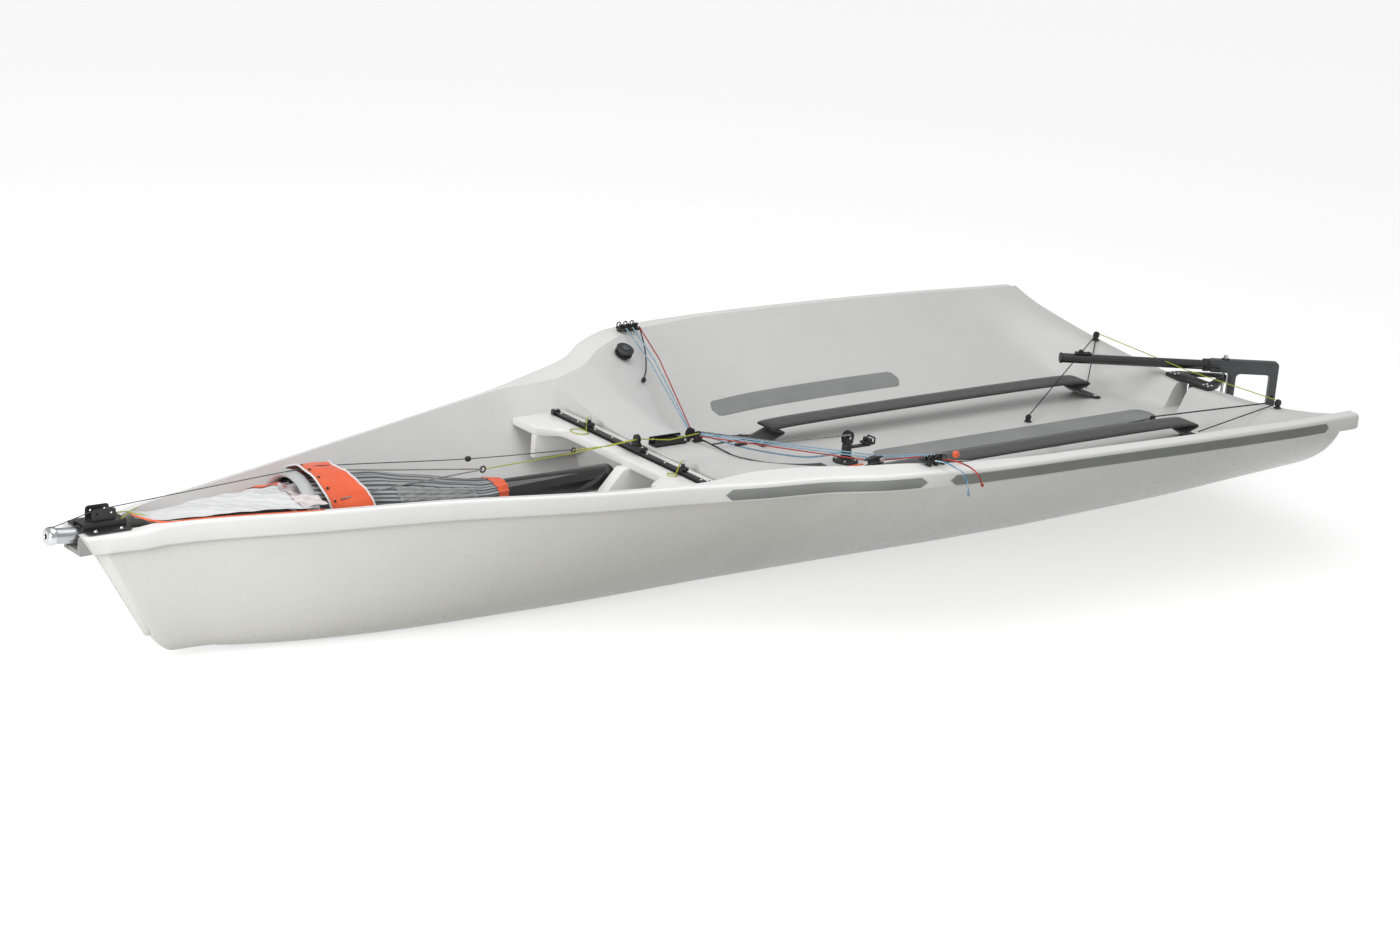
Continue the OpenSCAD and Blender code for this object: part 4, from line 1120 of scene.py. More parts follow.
    def band_rows(self, sign: int) -> list[list[Point]]:
        """Returns the rows of a gunwale band with a raked nose and a rounded tip."""
        b = self.lines
        rows = []
        for st in [0.3, 0.5, 0.9, 1.4] + self.stations():
            w, h, y0, z0 = b.rim_w(st), b.rim_b(st), b.sheer_y(st), b.sheer_h(st)
            lap = b.band_lap(st)
            prof = [(-lap, -h), (-lap * 0.5, -h), (-8, -h), (-4, -h + 1.5), (-1.2, -h + 4), (0, -h + 8),
                    (0, -h * 0.5), (0, -13), (-1, -8), (-3.5, -4), (-8, -1.2), (-13, 0), (-w * 0.5, 0),
                    (-w, 0), (-w, -b.rim_b(st) * 0.2)]
            nose = max(0.0, 1 - (st - 0.3) / 1.7)
            rows.append([(b.x_at(st, y0) - 38 * nose * (-dz / h), sign * (y0 + dy - 10 * nose * (-dz / h)),
                          z0 + dz)
                         for dy, dz in prof])
        tip, out = rows[-1], []
        cy = sum(p[1] for p in tip) / len(tip)
        cz = sum(p[2] for p in tip) / len(tip)
        for back, keep in ((26, 1.0), (9, 0.985), (2, 0.94), (0, 0.86)):
            out.append([(x + back, mix(cy, y, keep), mix(cz, z, keep)) for x, y, z in tip])
        return rows[:-1] + out

    def band(self, name: str, sign: int) -> Obj:
        """Makes one gunwale band."""
        return surface(name, self.band_rows(sign), closed=True, caps=True, angle=34)

    def build(self) -> None:
        """Makes the whole shell."""
        show(self.bottom(), Body.HULL, HULL_GELCOAT, "hull_gelcoat", "hull_moulding")
        # The deck takes the gelcoat darkened as painted shade.
        show(self.deck(), Body.HULL, DECK_GELCOAT_PAINTED_SHADE, "deck_gelcoat", "deck_moulding")
        # Painted shade: the slot wall here, and the bow block and daggerboard case below, take the dark grey
        # that stands for their shade.
        show(self.slot_wall(), Body.HULL, PAINTED_SHADE_LINER, "dark_liner")
        show(self.band("gunwale_band_port", 1), Body.HULL, RIM_GELCOAT, "hull_gelcoat", "gunwale_port")
        show(self.band("gunwale_band_starboard", -1), Body.HULL, RIM_GELCOAT, "hull_gelcoat",
             "gunwale_starboard")
        dress("bow_block", PAINTED_SHADE_LINER)
        dress("daggerboard_case", PAINTED_SHADE_LINER)


# Shapes shared by the fittings


def circle(x: float, y: float, r: float, sides: int = 20) -> list[Flat]:
    """Returns a circle's points."""
    return [(x + r * math.cos(math.tau * k / sides), y + r * math.sin(math.tau * k / sides))
            for k in range(sides)]


def rounded(corners: Sequence[Flat], r: float, steps: int = 5) -> list[Flat]:
    """Returns a polygon with its corners rounded.

    Args:
        corners: the polygon.
        r: how far from each corner the rounding starts, at most.
        steps: points on each rounding, less one.
    """
    out = []
    for p, q, n in zip([corners[-1], *corners[:-1]], corners, [*corners[1:], corners[0]]):
        a, b, c = Vector(p), Vector(q), Vector(n)
        cut = min(r, (a - b).length * 0.48, (c - b).length * 0.48)
        s, e = b + (a - b).normalized() * cut, b + (c - b).normalized() * cut
        out += [tuple(s * (1 - t) ** 2 + b * 2 * t * (1 - t) + e * t * t)
                for t in (k / steps for k in range(steps + 1))]
    return out


def fabric(obj: Obj) -> Obj:
    """Returns a sheet of cloth unchanged.

    Args:
        obj: the sheet.

    Returns:
        The sheet.
    """
    return obj


# Grip pads


@dataclass
class GripPads:
    """Grey foam pads: on the gunwales' outer faces, on both wings and along the floor."""

    lines: Lines
    thick: float = 3.0

    def rim(self, name: str, sign: int, first: float, last: float) -> Obj:
        """Makes one long pad on a gunwale's outer face, with round ends.

        Args:
            name: its name.
            sign: 1 to port, -1 to starboard.
            first: its forward station.
            last: its aft station.
        """
        b = self.lines
        rows = []
        n = max(24, round((last - first) * 2.4))
        for i in range(n + 1):
            st = mix(first, last, i / n)
            z0, h, y0 = b.sheer_h(st), b.rim_b(st), b.sheer_y(st)
            mid, half = z0 - h / 2 - 2.5, (h - 23) / 2
            end = min(st - first, last - st) * b.hull_len / 100
            half *= math.sqrt(max(0.0, 1 - max(0.0, 1 - end / 19) ** 2)) if end < 19 else 1.0
            half = max(half, 0.6)
            t = self.thick
            rows.append([(b.x_at(st, y0), sign * (y0 + dy), mid + half * k + dz) for dy, k, dz in
                         ((-1, -1, 0), (t * 0.6, -1, 0), (t, -1, min(1.4, half * 0.4)), (t, 0, 0),
                          (t, 1, -min(1.4, half * 0.4)), (t * 0.6, 1, 0), (-1, 1, 0))])
        return surface(name, rows, closed=True, caps=True, angle=40)

    def wing(self, name: str, sign: int) -> Obj:
        """Makes one pad on a wing's foot, with round ends."""
        b = self.lines
        rows = []
        for i in range(61):
            st = mix(60.2, 80, i / 60)
            end = min(i, 60 - i) * 19.8 / 60 * b.hull_len / 100
            half = 31 * (math.sqrt(max(0.001, 1 - (1 - end / 31) ** 2)) if end < 31 else 1.0)
            mid = b.centre(st)[0] + 34 + 31
            row = []
            for k in range(-5, 6):
                y = mid + half * k / 5
                row.append((b.x_at(st, y), sign * y,
                            b.deck_z(st, y) + self.thick + (1.2 if abs(k) < 5 else -3)))
            rows.append(row)
        return surface(name, rows, angle=50)

    def floor(self) -> Obj:
        """Makes the long pad on the floor's middle."""
        b = self.lines
        a, c = b.x_at(67), b.x_at(95.4)
        loop = rounded([(a, -52.5), (a, 52.5), (c, 52.5), (c, -52.5)], 52)
        maker = Maker(at(0, 0, b.floor_z + 0.3))
        return maker.plate(loop, self.thick, maker.where(0, 0, 0), 1.0).done("floor_grip")

    def build(self) -> None:
        """Makes every pad."""
        made = []
        for side, sign in (("port", 1), ("starboard", -1)):
            made.append((self.rim(f"rim_grip_front_{side}", sign, 42, 54.6), "gunwale_grip_pads"))
            made.append((self.rim(f"rim_grip_aft_{side}", sign, 56.4, 96), "gunwale_grip_pads"))
            made.append((self.wing(f"wing_grip_{side}", sign), "wing_grip_pads"))
        made.append((self.floor(), "floor_grip_pad"))
        for obj, node in made:
            show(obj, Body.HULL, PAD_FOAM, "pad_foam", node)


# Bow


@dataclass
class BowGear:
    """The folded fitting over the bow, its bolts, and the pole that slides through it."""

    lines: Lines
    tilt: float = 5.5
    pole_z: float = 414
    pole_r: float = 22.5
    front: float = -28
    back: float = -164
    ear_z: float = 483

    def along(self, d: float) -> Matrix:
        """Returns the place on the pole's axis at a distance aft of the nose, its own Z running aft."""
        t = math.radians(self.tilt)
        return at(-d * math.cos(t), 0, self.pole_z - d * math.sin(t), turn("Y", -90 - self.tilt))

    def fitting(self) -> Obj:
        """Makes the fitting: feet, hat, ears and the collars round the pole."""
        z = self.lines.sheer_h(3.9) + 1.9
        hat = self.pole_z + self.pole_r + 9
        mid, length = (self.front + self.back) / 2, self.front - self.back
        m = Maker(at(mid, 0, 0))
        m.block((length, 61, 4), m.where(0, 0, hat + 2), 1.8, 3)
        for s in (-1, 1):
            m.plate(rounded([(-length / 2, -18), (length / 2, -18),
                            (length / 2, 18), (-length / 2, 18)], 9), 4,
                    m.where(0, s * 48, z), 1.0)
            m.block((length, 4, hat - z + 3), m.where(0, s * 28.4, (hat + z + 1) / 2), 1.6)
            ear = rounded([(-37, 0), (37, 0), (37, self.ear_z - hat), (-37, self.ear_z - hat)], 11)
            top = self.ear_z - hat - 12
            m.plate(ear, 4, m.where(-1, s * 20 + 2, hat + 2, turn("X", 90)), 0.8,
                    [circle(-23, top - 2, 3.25), circle(21, top - 2, 3.25)])
        m.place = self.along(-self.front)
        loop = [(23.4, 0), (27, 0), (29, 1.5), (29, 7), (27, 8.5), (23.4, 8.5)]
        m.collar(loop, m.where(0, 0, 0))
        m.place = self.along(-self.back - 8)
        return m.collar(loop, m.where(0, 0, 0)).done("bow_hat")

    def bolts(self) -> Obj:
        """Makes the feet's bolts and the washers below them."""
        z = self.lines.sheer_h(3.9) + 5.9
        m = Maker(at(0, 0, 0))
        for x in (-56, -136):
            for y in (-51, 51):
                m.lathe([(7.5, 0), (7.5, 0.8), (7.0, 1.2)], m.where(x, y, z), 24)
                m.bolt(5.2, m.where(x, y, z + 1))
        return m.done("bow_bolts")

    def build(self) -> None:
        """Makes the bow's gear."""
        show(self.fitting(), Body.HULL, BLACK_METAL, "black_metal", "bow_fitting")
        show(self.bolts(), Body.HULL, STAINLESS, "stainless")
        m = Maker(self.along(-44))
        m.collar([(20.5, 0), (22.5, 0), (22.5, 1624), (20.5, 1624)], m.where(0, 0, 0), 48)
        show(m.done("pole_tube"), Body.POLE, POLE_TUBE, "silver_tube", "spinnaker_pole")
        m = Maker(self.along(-70))
        r = self.pole_r + 4
        m.collar([(7, 1), (8, 0), (r - 9.5, 0), (r - 6, 0.9), (r - 3.4, 3), (r - 1.4, 6.4),
                  (r - 0.3, 10), (r, 13),
                  (r, 22), (r - 0.8, 24.4), (r - 3, 26), (7, 26)], m.where(0, 0, 0), 48)
        show(m.done("pole_nose"), Body.POLE, STAINLESS, "stainless", "pole_cap")


# Spinnaker chute


@dataclass
class Chute:
    """Trough cloth, arch, skirt, the sail's corner in the mouth, mesh sock, its window and the tunnel."""

    lines: Lines
    arch_x: float = -716.04
    arch_c: float = 361
    arch_r: float = 135
    arch_flat: float = 1.75
    far_drop: float = 58
    sock: Sequence[tuple[float, float, float, float]] = (
        (728, 112, 392, 492), (850, 112, 384, 474), (1000, 116, 366, 458), (1200, 100, 348, 420),
        (1350, 74, 336, 392),
        (1446, 43, 320, 388))

    def trough_shape(self, x: float, u: float) -> Point:
        """Returns a point on the trough cloth; u runs from -1 to 1 across it."""
        b = self.lines
        st = -100 * x / b.hull_len
        drop = self.far_drop * ease((-x - 200) / 120) if u < 0 else 0.0
        edge = b.sheer_h(st) + 1.4 - drop
        wide = b.side_y(st, edge - 6) - 2 if drop > 20 else b.sheer_y(st) - 15 - drop * 0.5
        taper = ease((-x - 180) / 90) ** 0.6
        w = max(2.0, wide * taper)
        mid = mix(452, lookup(-x, ((222, 427), (300, 419), (420, 411), (540, 405), (640, 402), (700, 402))),
                  ease((-x - 186) / 120))
        edge = mix(456, edge, taper)
        fold = (2.6 * math.sin(x * 0.031 + 5 * u)
                + 1.6 * math.sin(x * 0.067 - 9 * u + 1)) * (1 - u * u) * taper
        return (x, w * u, mid + (edge - mid) * abs(u) ** 1.9 + fold)

    def folds_shape(self, x: float, u: float, lift: float = 0.0) -> Point:
        """Returns a point on the sail's folds that lie heaped over the trough."""
        p = self.trough_shape(x, u)
        sheer = self.lines.sheer_h(-100 * x / self.lines.hull_len)
        ridge = sheer + lookup(-x, ((196, 3), (300, 7), (420, 9), (560, 10), (730, 4)))
        edge = p[2] + 1.6 if abs(u) > 0.999 else self.trough_shape(x, math.copysign(1, u))[2] + 1.6
        grow = ease((-x - 200) / 260)
        crease = grow * (4.2 * math.sin(7 * u + x * 0.021) + 2.8 * math.sin(15 * u - x * 0.043 + 1)
                         + 1.5 * math.sin(29 * u + x * 0.09)) * (1 - u ** 4)
        return (x, p[1], edge + (ridge - edge) * (1 - abs(u) ** 1.7) + crease + lift)

    def trough(self) -> Obj:
        """Makes the trough's cloth."""
        rows = [[self.trough_shape(-190 - 508 * i / 60, k / 12) for k in range(-12, 13)] for i in range(61)]
        return surface("trough_cloth", rows, angle=80)

    def binding(self, sign: int) -> Obj:
        """Makes the orange tape along one edge of the trough's cloth."""
        rows = []
        for i in range(61):
            x = -188 - 512 * i / 60
            row = []
            for u, lift in ((1.0, -2.5), (1.0, 1.4), (0.93, 1.6), (0.86, 1.2)):
                p = self.trough_shape(x, sign * u)
                row.append((p[0], p[1] + sign * (1.5 if lift < 0 else 0), p[2] + lift))
            rows.append(row)
        return surface(f"trough_tape_{'port' if sign > 0 else 'starboard'}", rows, angle=80)

    def arc(self, x: float, r: float, degrees: float) -> Point:
        """Returns a point on the arch's circle."""
        a = math.radians(degrees)
        return (x, r * math.cos(a), self.arch_c + r * math.sin(a))

    def skirt_front(self, degrees: float) -> float:
        """Returns where the skirt starts at an angle round the arch, further aft at its feet."""
        return self.arch_x - 22 - 26 * abs(math.cos(math.radians(degrees))) ** 2

    def skirt_back(self, degrees: float) -> float:
        """Returns how far aft the skirt reaches at an angle round the arch."""
        return -846 - 74 * abs(math.cos(math.radians(degrees))) ** 1.5

    def skirt_shape(self, t: float, degrees: float) -> Point:
        """Returns a point on the skirt: t runs from its front edge to its back edge."""
        x = mix(self.skirt_front(degrees), self.skirt_back(degrees), t)
        r = 154 + 1.5 * math.sin(degrees * 0.21 + 6 * t) + 1.2 * math.sin(degrees * 0.47) * t
        return self.arc(x, r - 4 * t, degrees)

    def skirt(self) -> None:
        """Makes the orange skirt, its white piping and its studs."""
        turns = [18 + 144 * k / 48 for k in range(49)]
        rows = [[self.skirt_shape(i / 12, d) for d in turns] for i in range(13)]
        cloth = show(surface("skirt_cloth", rows, angle=80), Body.HULL, ORANGE_CLOTH, "orange_cloth",
                     "chute_skirt")
        fabric(cloth)
        for name, t in (("skirt_piping_front", 0.02), ("skirt_piping_back", 1.0)):
            edge = [self.arc(*self.skirt_edge(t, d)) for d in turns]
            show(tube(name, edge, 3.2, 8), Body.HULL, WHITE_CLOTH, "white_cloth")
        m = Maker(at(0, 0, 0))
        for d in range(34, 150, 16):
            x, y, z = self.arc(mix(self.skirt_front(d), self.skirt_back(d), 0.16), 154.5, d)
            m.lathe([(4.5, 0), (4.2, 1.4), (1.5, 2.4)], m.where(x, y, z, turn("X", d - 90)), 12)
        show(m.done("skirt_studs"), Body.HULL, BLACK_PLASTIC, "black_plastic")

    def skirt_edge(self, t: float, degrees: float) -> tuple[float, float, float]:
        """Returns x, radius and angle for the piping on one of the skirt's edges."""
        x, y, z = self.skirt_shape(t, degrees)
        return x, math.hypot(y, z - self.arch_c) + 1.5, degrees

    def sock_shape(self, x: float, degrees: float, lift: float = 0.0) -> Point:
        """Returns a point on the sock's outside, with lengthwise folds that deepen as it narrows."""
        half, low, high = (lookup(-x, [(s[0], s[k]) for s in self.sock]) for k in (1, 2, 3))
        a = math.radians(degrees)
        t = ease((-x - 720) / 500)
        fold = (1.0 + 2.2 * t) * math.sin(13 * a + x * 0.006) + 1.6 * math.sin(x * 0.035 + 3 * a)
        rz = (high - low) / 2
        return (x, (half + fold + lift) * math.cos(a),
                (high + low) / 2 + (rz + fold * 0.7 + lift) * math.sin(a))

    def sock_piece(self) -> Obj:
        """Makes the mesh sock."""
        rows = [[self.sock_shape(-728 - 718 * i / 90, 360 * j / 72) for j in range(72)] for i in range(91)]
        return surface("sock_mesh", rows, closed=True, angle=80)

    def window(self) -> Obj:
        """Makes the crinkled clear film let into the sock's port side."""
        rows = []
        for i in range(41):
            x = -1010 - 300 * i / 40
            rows.append([self.sock_shape(x, -12 + 62 * j / 16, 3.2 + 1.6 * math.sin(x * 0.11 + j * 1.3)
                                         + 1.2 * math.sin(x * 0.23 - j * 2.1)) for j in range(17)])
        return surface("sock_window", rows, angle=15)

    def sail_folds(self) -> Obj:
        """Makes the pale cloth heaped along the trough."""
        rows = [[self.folds_shape(-206 - 492 * i / 96, 0.88 * k / 24) for k in range(-24, 25)]
                for i in range(97)]
        return surface("sail_folds", rows, angle=80)

    def sail_corner(self) -> Obj:
        """Makes the rose cloth in the arch's mouth."""
        rows = []
        for i in range(33):
            t = i / 32
            x = mix(-654, -728, t)
            row = []
            for j in range(41):
                u = mix(mix(0.5, -0.25, ease(2 * t)), 0.84, j / 40)
                row.append(self.folds_shape(x, u,
                                            3.5 + 1.6 * math.sin(19 * u + 9 * t) + 1.2
                                            * math.sin(37 * u - 7 * t)))
            rows.append(row)
        return surface("sail_corner", rows, angle=80)

    def flap(self) -> Obj:
        """Makes the orange patch at the sail's far corner."""
        rows = []
        for i in range(25):
            t = i / 24
            x = mix(-585, -704, t)
            rows.append([self.folds_shape(x, mix(mix(-0.62, -0.9, t), mix(-0.6, -0.08, t), k / 16), 3.2)
                         for k in range(17)])
        return surface("sail_patch", rows, angle=80)

    def build(self) -> None:
        """Makes the whole chute."""
        m = [self.arc(self.arch_x, self.arch_r, 180 * k / 60) for k in range(61)]
        arch = tube("arch_tube", m, 12, 28)
        middle = self.lines.m(self.arch_x, 0, 0).x
        for v in arch.data.vertices:
            v.co.x = middle + (v.co.x - middle) * self.arch_flat
        show(arch, Body.HULL, ARCH_TUBE, "grey_tube", "chute_arch")
        trough = show(self.trough(), Body.HULL, WHITE_CLOTH, "white_cloth", "chute_trough")
        fabric(trough)
        for sign in (1, -1):
            fabric(show(self.binding(sign), Body.HULL, ORANGE_CLOTH, "orange_cloth"))
        self.skirt()
        sock = show(self.sock_piece(), Body.HULL, SOCK_MESH, "grey_mesh", "chute_sock")
        fabric(sock)
        fabric(show(self.window(), Body.HULL, WINDOW_FILM, "white_cloth"))
        sail = show(self.sail_corner(), Body.HULL, ROSE_CLOTH, "white_cloth")
        folds = show(self.sail_folds(), Body.HULL, WHITE_CLOTH, "white_cloth")
        fabric(folds)
        fabric(sail)
        fabric(show(self.flap(), Body.HULL, ORANGE_CLOTH, "orange_cloth"))
        m = Maker(at(-1440, 0, 345, turn("Y", -90)))
        m.lathe([(34, 0), (39, 1), (40, 4), (40, 400), (38.5, 410), (34, 417), (24, 420)], m.where(0, 0, 0),
                56)
        show(m.done("tunnel_tube"), Body.HULL, BLACK_GLOSS, "black_gloss", "chute_tunnel")
        rows = [[self.sock_shape(-1404 - 46 * i / 6, 360 * j / 48, 2.5) for j in range(48)] for i in range(7)]
        show(surface("sock_cuff", rows, closed=True, angle=80), Body.HULL, ORANGE_CLOTH, "orange_cloth")


# Mast beam


@dataclass
class MastBeam:
    """The beam across the end of the well, its jib track, stops and car, and the platform's mast step."""

    lines: Lines
    top: float = 420
    thick: float = 26
    front_st: float = 40.4
    back_st: float = STEP_ABOVE
    front_mid: float = -1860
    tab_y: float = 294
    track_x: float = -1927.1
    track_l: float = 790
    stops: Sequence[float] = (-212, 268)
    car_y: float = 34

    def beam(self) -> Obj:
        """Makes the plate, its web and its side knees."""
        b = self.lines
        a, c = b.x_at(self.front_st), b.x_at(self.back_st) + 0.3
        wa, wc = (b.side_y(st, self.top - self.thick) - 1 for st in (self.front_st, self.back_st))
        half = [(c, wc), (a, wa), (a, self.tab_y + 8), (a - 16, self.tab_y - 6),
                (self.front_mid + 8, self.tab_y - 36),
                (self.front_mid, self.tab_y - 60)]
        loop = half + [(x, -y) for x, y in reversed(half)]
        m = Maker(at(0, 0, 0))
        m.plate(loop, self.thick, m.where(0, 0, self.top - self.thick), 4)
        web = [(c, 187), (self.front_mid + 60, 187), (self.front_mid + 80, 230), (self.front_mid + 94, 300),
               (self.front_mid + 80, 330), (self.front_mid + 20, 395), (c, 395)]
        m.plate(web, 44, m.where(0, 94, 0, turn("X", 90)), 6)
        for s in (-1, 1):
            m.block((a - c, 24, 76), m.where((a + c) / 2, s * 308, self.top - self.thick - 36), 4)
        return m.done("beam_plate")

    def track(self) -> Obj:
        """Makes the track's rail with a lip each side."""
        m = Maker(at(self.track_x, 0, self.top + 0.4))
        m.block((22, self.track_l, 3), m.where(0, 0, 1.5), 0.8)
        m.block((12, self.track_l, 8), m.where(0, 0, 5), 0.6)
        m.block((22, self.track_l, 4), m.where(0, 0, 10), 1.2)
        for s in (-1, 1):
            m.block((27, 17, 17), m.where(0, s * (self.track_l / 2 - 5), 8.5), 2.5, 3)
        return m.done("track_rail")

    def track_bolts(self) -> Obj:
        """Makes the bolts sunk in the track."""
        m = Maker(at(self.track_x, 0, self.top + 12))
        for k in range(9):
            m.bolt(4.2, m.where(0, -360 + 90 * k, 0))
        for s in (-1, 1):
            m.bolt(4.6, m.where(0, s * (self.track_l / 2 - 5), 5.4))
        return m.done("track_bolts")

    def stop(self, k: int, y: float, loop: float) -> None:
        """Makes one stop with its plunger, split ring and pull loop.

        Args:
            k: its number.
            y: where it stands on the track.
            loop: the pull loop's radius.
        """
        z = self.top + 13
        m = Maker(at(self.track_x, y, z))
        m.block((30, 24, 11), m.where(0, 0, 5.5), 2.2, 3)
        m.lathe([(6, 0), (6, 10), (4.5, 11.5)], m.where(0, 0, 10), 20)
        show(m.done(f"stop_{k}"), Body.HULL, BLACK_PLASTIC, "black_plastic", "track_stops")
        m = Maker(at(self.track_x, y, z))
        m.ring(7, 0.9, m.where(0, 0, 25, turn("X", 90)))
        show(m.done(f"stop_ring_{k}"), Body.HULL, STAINLESS, "stainless")
        side = 1 if k else -1
        cx, cy = self.track_x + 26 + loop * 0.5, y + side * -6
        pts = [(self.track_x, y, z + 31), (self.track_x + 12, y + 2, z + 27)]
        for i in range(15):
            a = math.pi + math.tau * i / 14
            pts.append((cx + loop * math.cos(a) * 0.9, cy + loop * math.sin(a),
                        self.top + 2.2 + 22 * (0.5 - 0.5 * math.cos(a + math.pi)) * 0.1))
        pts.append((self.track_x + 10, y - 2, z + 27))
        show(tube(f"stop_loop_{k}", pts, 1.6, 8, 4), Body.HULL, YELLOW_LINE, "fleck_rope")

    def car(self) -> None:
        """Makes the jib car with its block."""
        m = Maker(at(self.track_x, self.car_y, self.top + 13))
        m.block((34, 76, 13), m.where(0, 0, 6.5), 3, 3)
        m.block((22, 26, 9), m.where(0, 0, 16), 3, 3)
        m.sheave(15, 12, m.where(0, 0, 31, turn("Y", 90)))
        show(m.done("car_block"), Body.HULL, BLACK_PLASTIC, "black_plastic", "jib_car")
        m = Maker(at(self.track_x, self.car_y, self.top + 13))
        m.ring(10, 1.3, m.where(14, 0, 26, turn("X", 90)))
        for s in (-1, 1):
            m.bolt(3.2, m.where(0, s * 30, 13))
        show(m.done("car_ring"), Body.HULL, STAINLESS, "stainless")

    def step(self) -> None:
        """Makes the mast step's channel and bolts."""
        x0 = self.lines.x_at(45.5) - 4
        m = Maker(at(x0 - 61, 0, self.top + 0.3))
        m.block((122, 38, 4), m.where(0, 0, 2), 0.8)
        for s in (-1, 1):
            side = rounded([(-61, 0), (61, 0), (61, 25), (-61, 25)], 5)
            m.plate(side, 4, m.where(0, s * 17 + 2, 0, turn("X", 90)), 0.7,
                    [circle(-47, 16, 4), circle(47, 16, 4)])
        show(m.done("step_channel"), Body.HULL, BLACK_METAL, "black_metal", "mast_step")
        m = Maker(at(x0 - 61, 0, self.top + 4.3))
        for x in (-24, 24):
            m.bolt(4.5, m.where(x, 0, 0))
        show(m.done("step_bolts"), Body.HULL, STAINLESS, "stainless")
        dress("mast_step_pin", STAINLESS)

    def build(self) -> None:
        """Makes the beam and all on it."""
        show(self.beam(), Body.HULL, RIM_GELCOAT, "deck_gelcoat", "mast_beam")
        show(self.track(), Body.HULL, BLACK_METAL, "black_metal", "jib_track")
        show(self.track_bolts(), Body.HULL, STAINLESS, "stainless")
        self.stop(0, self.stops[0], 30)
        self.stop(1, self.stops[1], 16)
        self.car()
        self.step()


# Cockpit


@dataclass
class CockpitGear:
    """Toe straps, mainsheet swivel, ratchet blocks, cleats, floor eyes and the blocks at the mast's foot."""

    lines: Lines
    strap_y: float = 266
    strap_w: float = 92
    strap_t: float = 7
    strap_rise: float = 62

    def strap_path(self) -> list[tuple[float, float, float]]:
        """Returns the strap's middle line as (aft of the nose, above the ground, width)."""
        b = self.lines
        z1 = b.deck_z(59.6, self.strap_y) + 5
        z2 = b.deck_z(94.4, self.strap_y) + 5
        zm = b.floor_z + self.strap_rise + self.strap_t / 2
        a, c = b.x_at(59.6), b.x_at(94.4)
        knots = [(a, z1), (a - 36, z1 + 1), (a - 104, mix(z1, zm, 0.5)), (a - 172, zm), (c + 150, zm),
                 (c + 92, mix(zm, z2, 0.5)), (c + 36, z2 + 1), (c, z2)]
        pts = smooth_path([(x, 0, z) for x, z in knots], 10)
        out = []
        for p in pts:
            end = min(a - p.x, p.x - c)
            out.append((p.x, p.z, mix(128, self.strap_w, ease((end - 14) / 16))))
        return out

    def strap(self, name: str, sign: int) -> Obj:
        """Makes one padded strap with wide ends."""
        rows = []
        for x, z, wide in self.strap_path():
            t = self.strap_t / 2
            y0 = sign * self.strap_y
            rows.append([(x, y0 + wide / 2 * u, z + t * v) for u, v in
                         ((-1, -0.35), (-0.96, -1), (-0.5, -1), (0, -1), (0.5, -1), (0.96, -1), (1, -0.35),
                          (1, 0.35), (0.96, 0.8), (0.5, 1), (0, 1.05), (-0.5, 1), (-0.96, 0.8), (-1, 0.35))])
        return surface(name, rows, closed=True, caps=True, angle=60)

    def label(self) -> Obj:
        """Makes the blank label sewn on the starboard strap."""
        m = Maker(at(-3330, -self.strap_y + 4, self.lines.floor_z + self.strap_rise + self.strap_t + 0.5,
                     turn("Z", 0)))
        return m.plate(rounded([(-82, -31), (82, -31), (82, 31), (-82, 31)], 4), 1.0, m.where(0, 0, 0),
                       0.4).done("strap_label")

    def strap_bolts(self) -> Obj:
        """Makes the bolts and washers that hold the straps' ends."""
        b = self.lines
        m = Maker(at(0, 0, 0))
        for sign in (-1, 1):
            for st, dx in ((59.6, -12), (94.4, 12)):
                x, z = b.x_at(st) + dx, b.deck_z(st, self.strap_y) + 8.4
                for dy in (-46, 46):
                    m.lathe([(9, 0), (9, 1), (8.4, 1.4)], m.where(x, sign * self.strap_y + dy, z), 20)
                    m.bolt(4.6, m.where(x, sign * self.strap_y + dy, z + 1))
        return m.done("strap_bolts")

    def mainsheet(self) -> None:
        """Makes the swivel base with its arm, cam cleat and block."""
        b = self.lines
        x, z = b.x_at(63.8), b.deck_z(62.8, 0) + 2
        m = Maker(at(x, 0, z))
        m.lathe([(42, 0), (42, 3.5), (40, 5.5), (20, 7), (17.5, 9), (17, 36)], m.where(0, 0, 0), 48)
        show(m.done("sheet_base"), Body.HULL, BLACK_PLASTIC, "black_plastic", "mainsheet_base")
        m = Maker(at(x, 0, z + 37))
        m.lathe([(15, 0), (16, 2), (16, 19), (14, 22)], m.where(0, 0, 0), 32)
        arm = rounded([(-96, -11), (-14, -9), (-14, 9), (-96, 11)], 5)
        m.plate(arm, 6, m.where(0, 0, 5), 1.2)
        m.block((34, 38, 8), m.where(-87, 0, 15), 2)
        for s in (-1, 1):
            m.lathe([(8.5, 0), (9, 2), (8.5, 4), (9, 6), (8.5, 8), (9, 10), (8, 12)],
                    m.where(-87, s * 10, 19), 20)
        m.block((5, 38, 5), m.where(-103, 0, 33), 1.5)
        for s in (-1, 1):
            m.block((5, 4, 20), m.where(-103, s * 17, 24), 1.2)
        m.sheave(22, 18, m.where(0, 0, 44, turn("X", 90)))
        m.block((30, 4, 22), m.where(0, 11, 34), 1.5)
        m.block((30, 4, 22), m.where(0, -11, 34), 1.5)
        show(m.done("sheet_swivel"), Body.HULL, BLACK_PLASTIC, "black_plastic", "mainsheet_swivel")
        m = Maker(at(x, 0, z))
        for k in range(4):
            a = math.radians(45 + 90 * k)
            m.bolt(4.5, m.where(31 * math.cos(a), 31 * math.sin(a), 5.8))
        for s in (-1, 1):
            m.lathe([(5, 0), (5, 1.5), (3, 3)], m.where(0, s * 12.6, 81, turn("X", -90 * s)), 20)
        show(m.done("sheet_bolts"), Body.HULL, STAINLESS, "stainless")

    def slope(self, st: float, y: float) -> float:
        """Returns the deck's slope across the boat, in degrees."""
        b = self.lines
        return math.degrees(math.atan2(b.deck_z(st, y + 30) - b.deck_z(st, y - 30), 60))

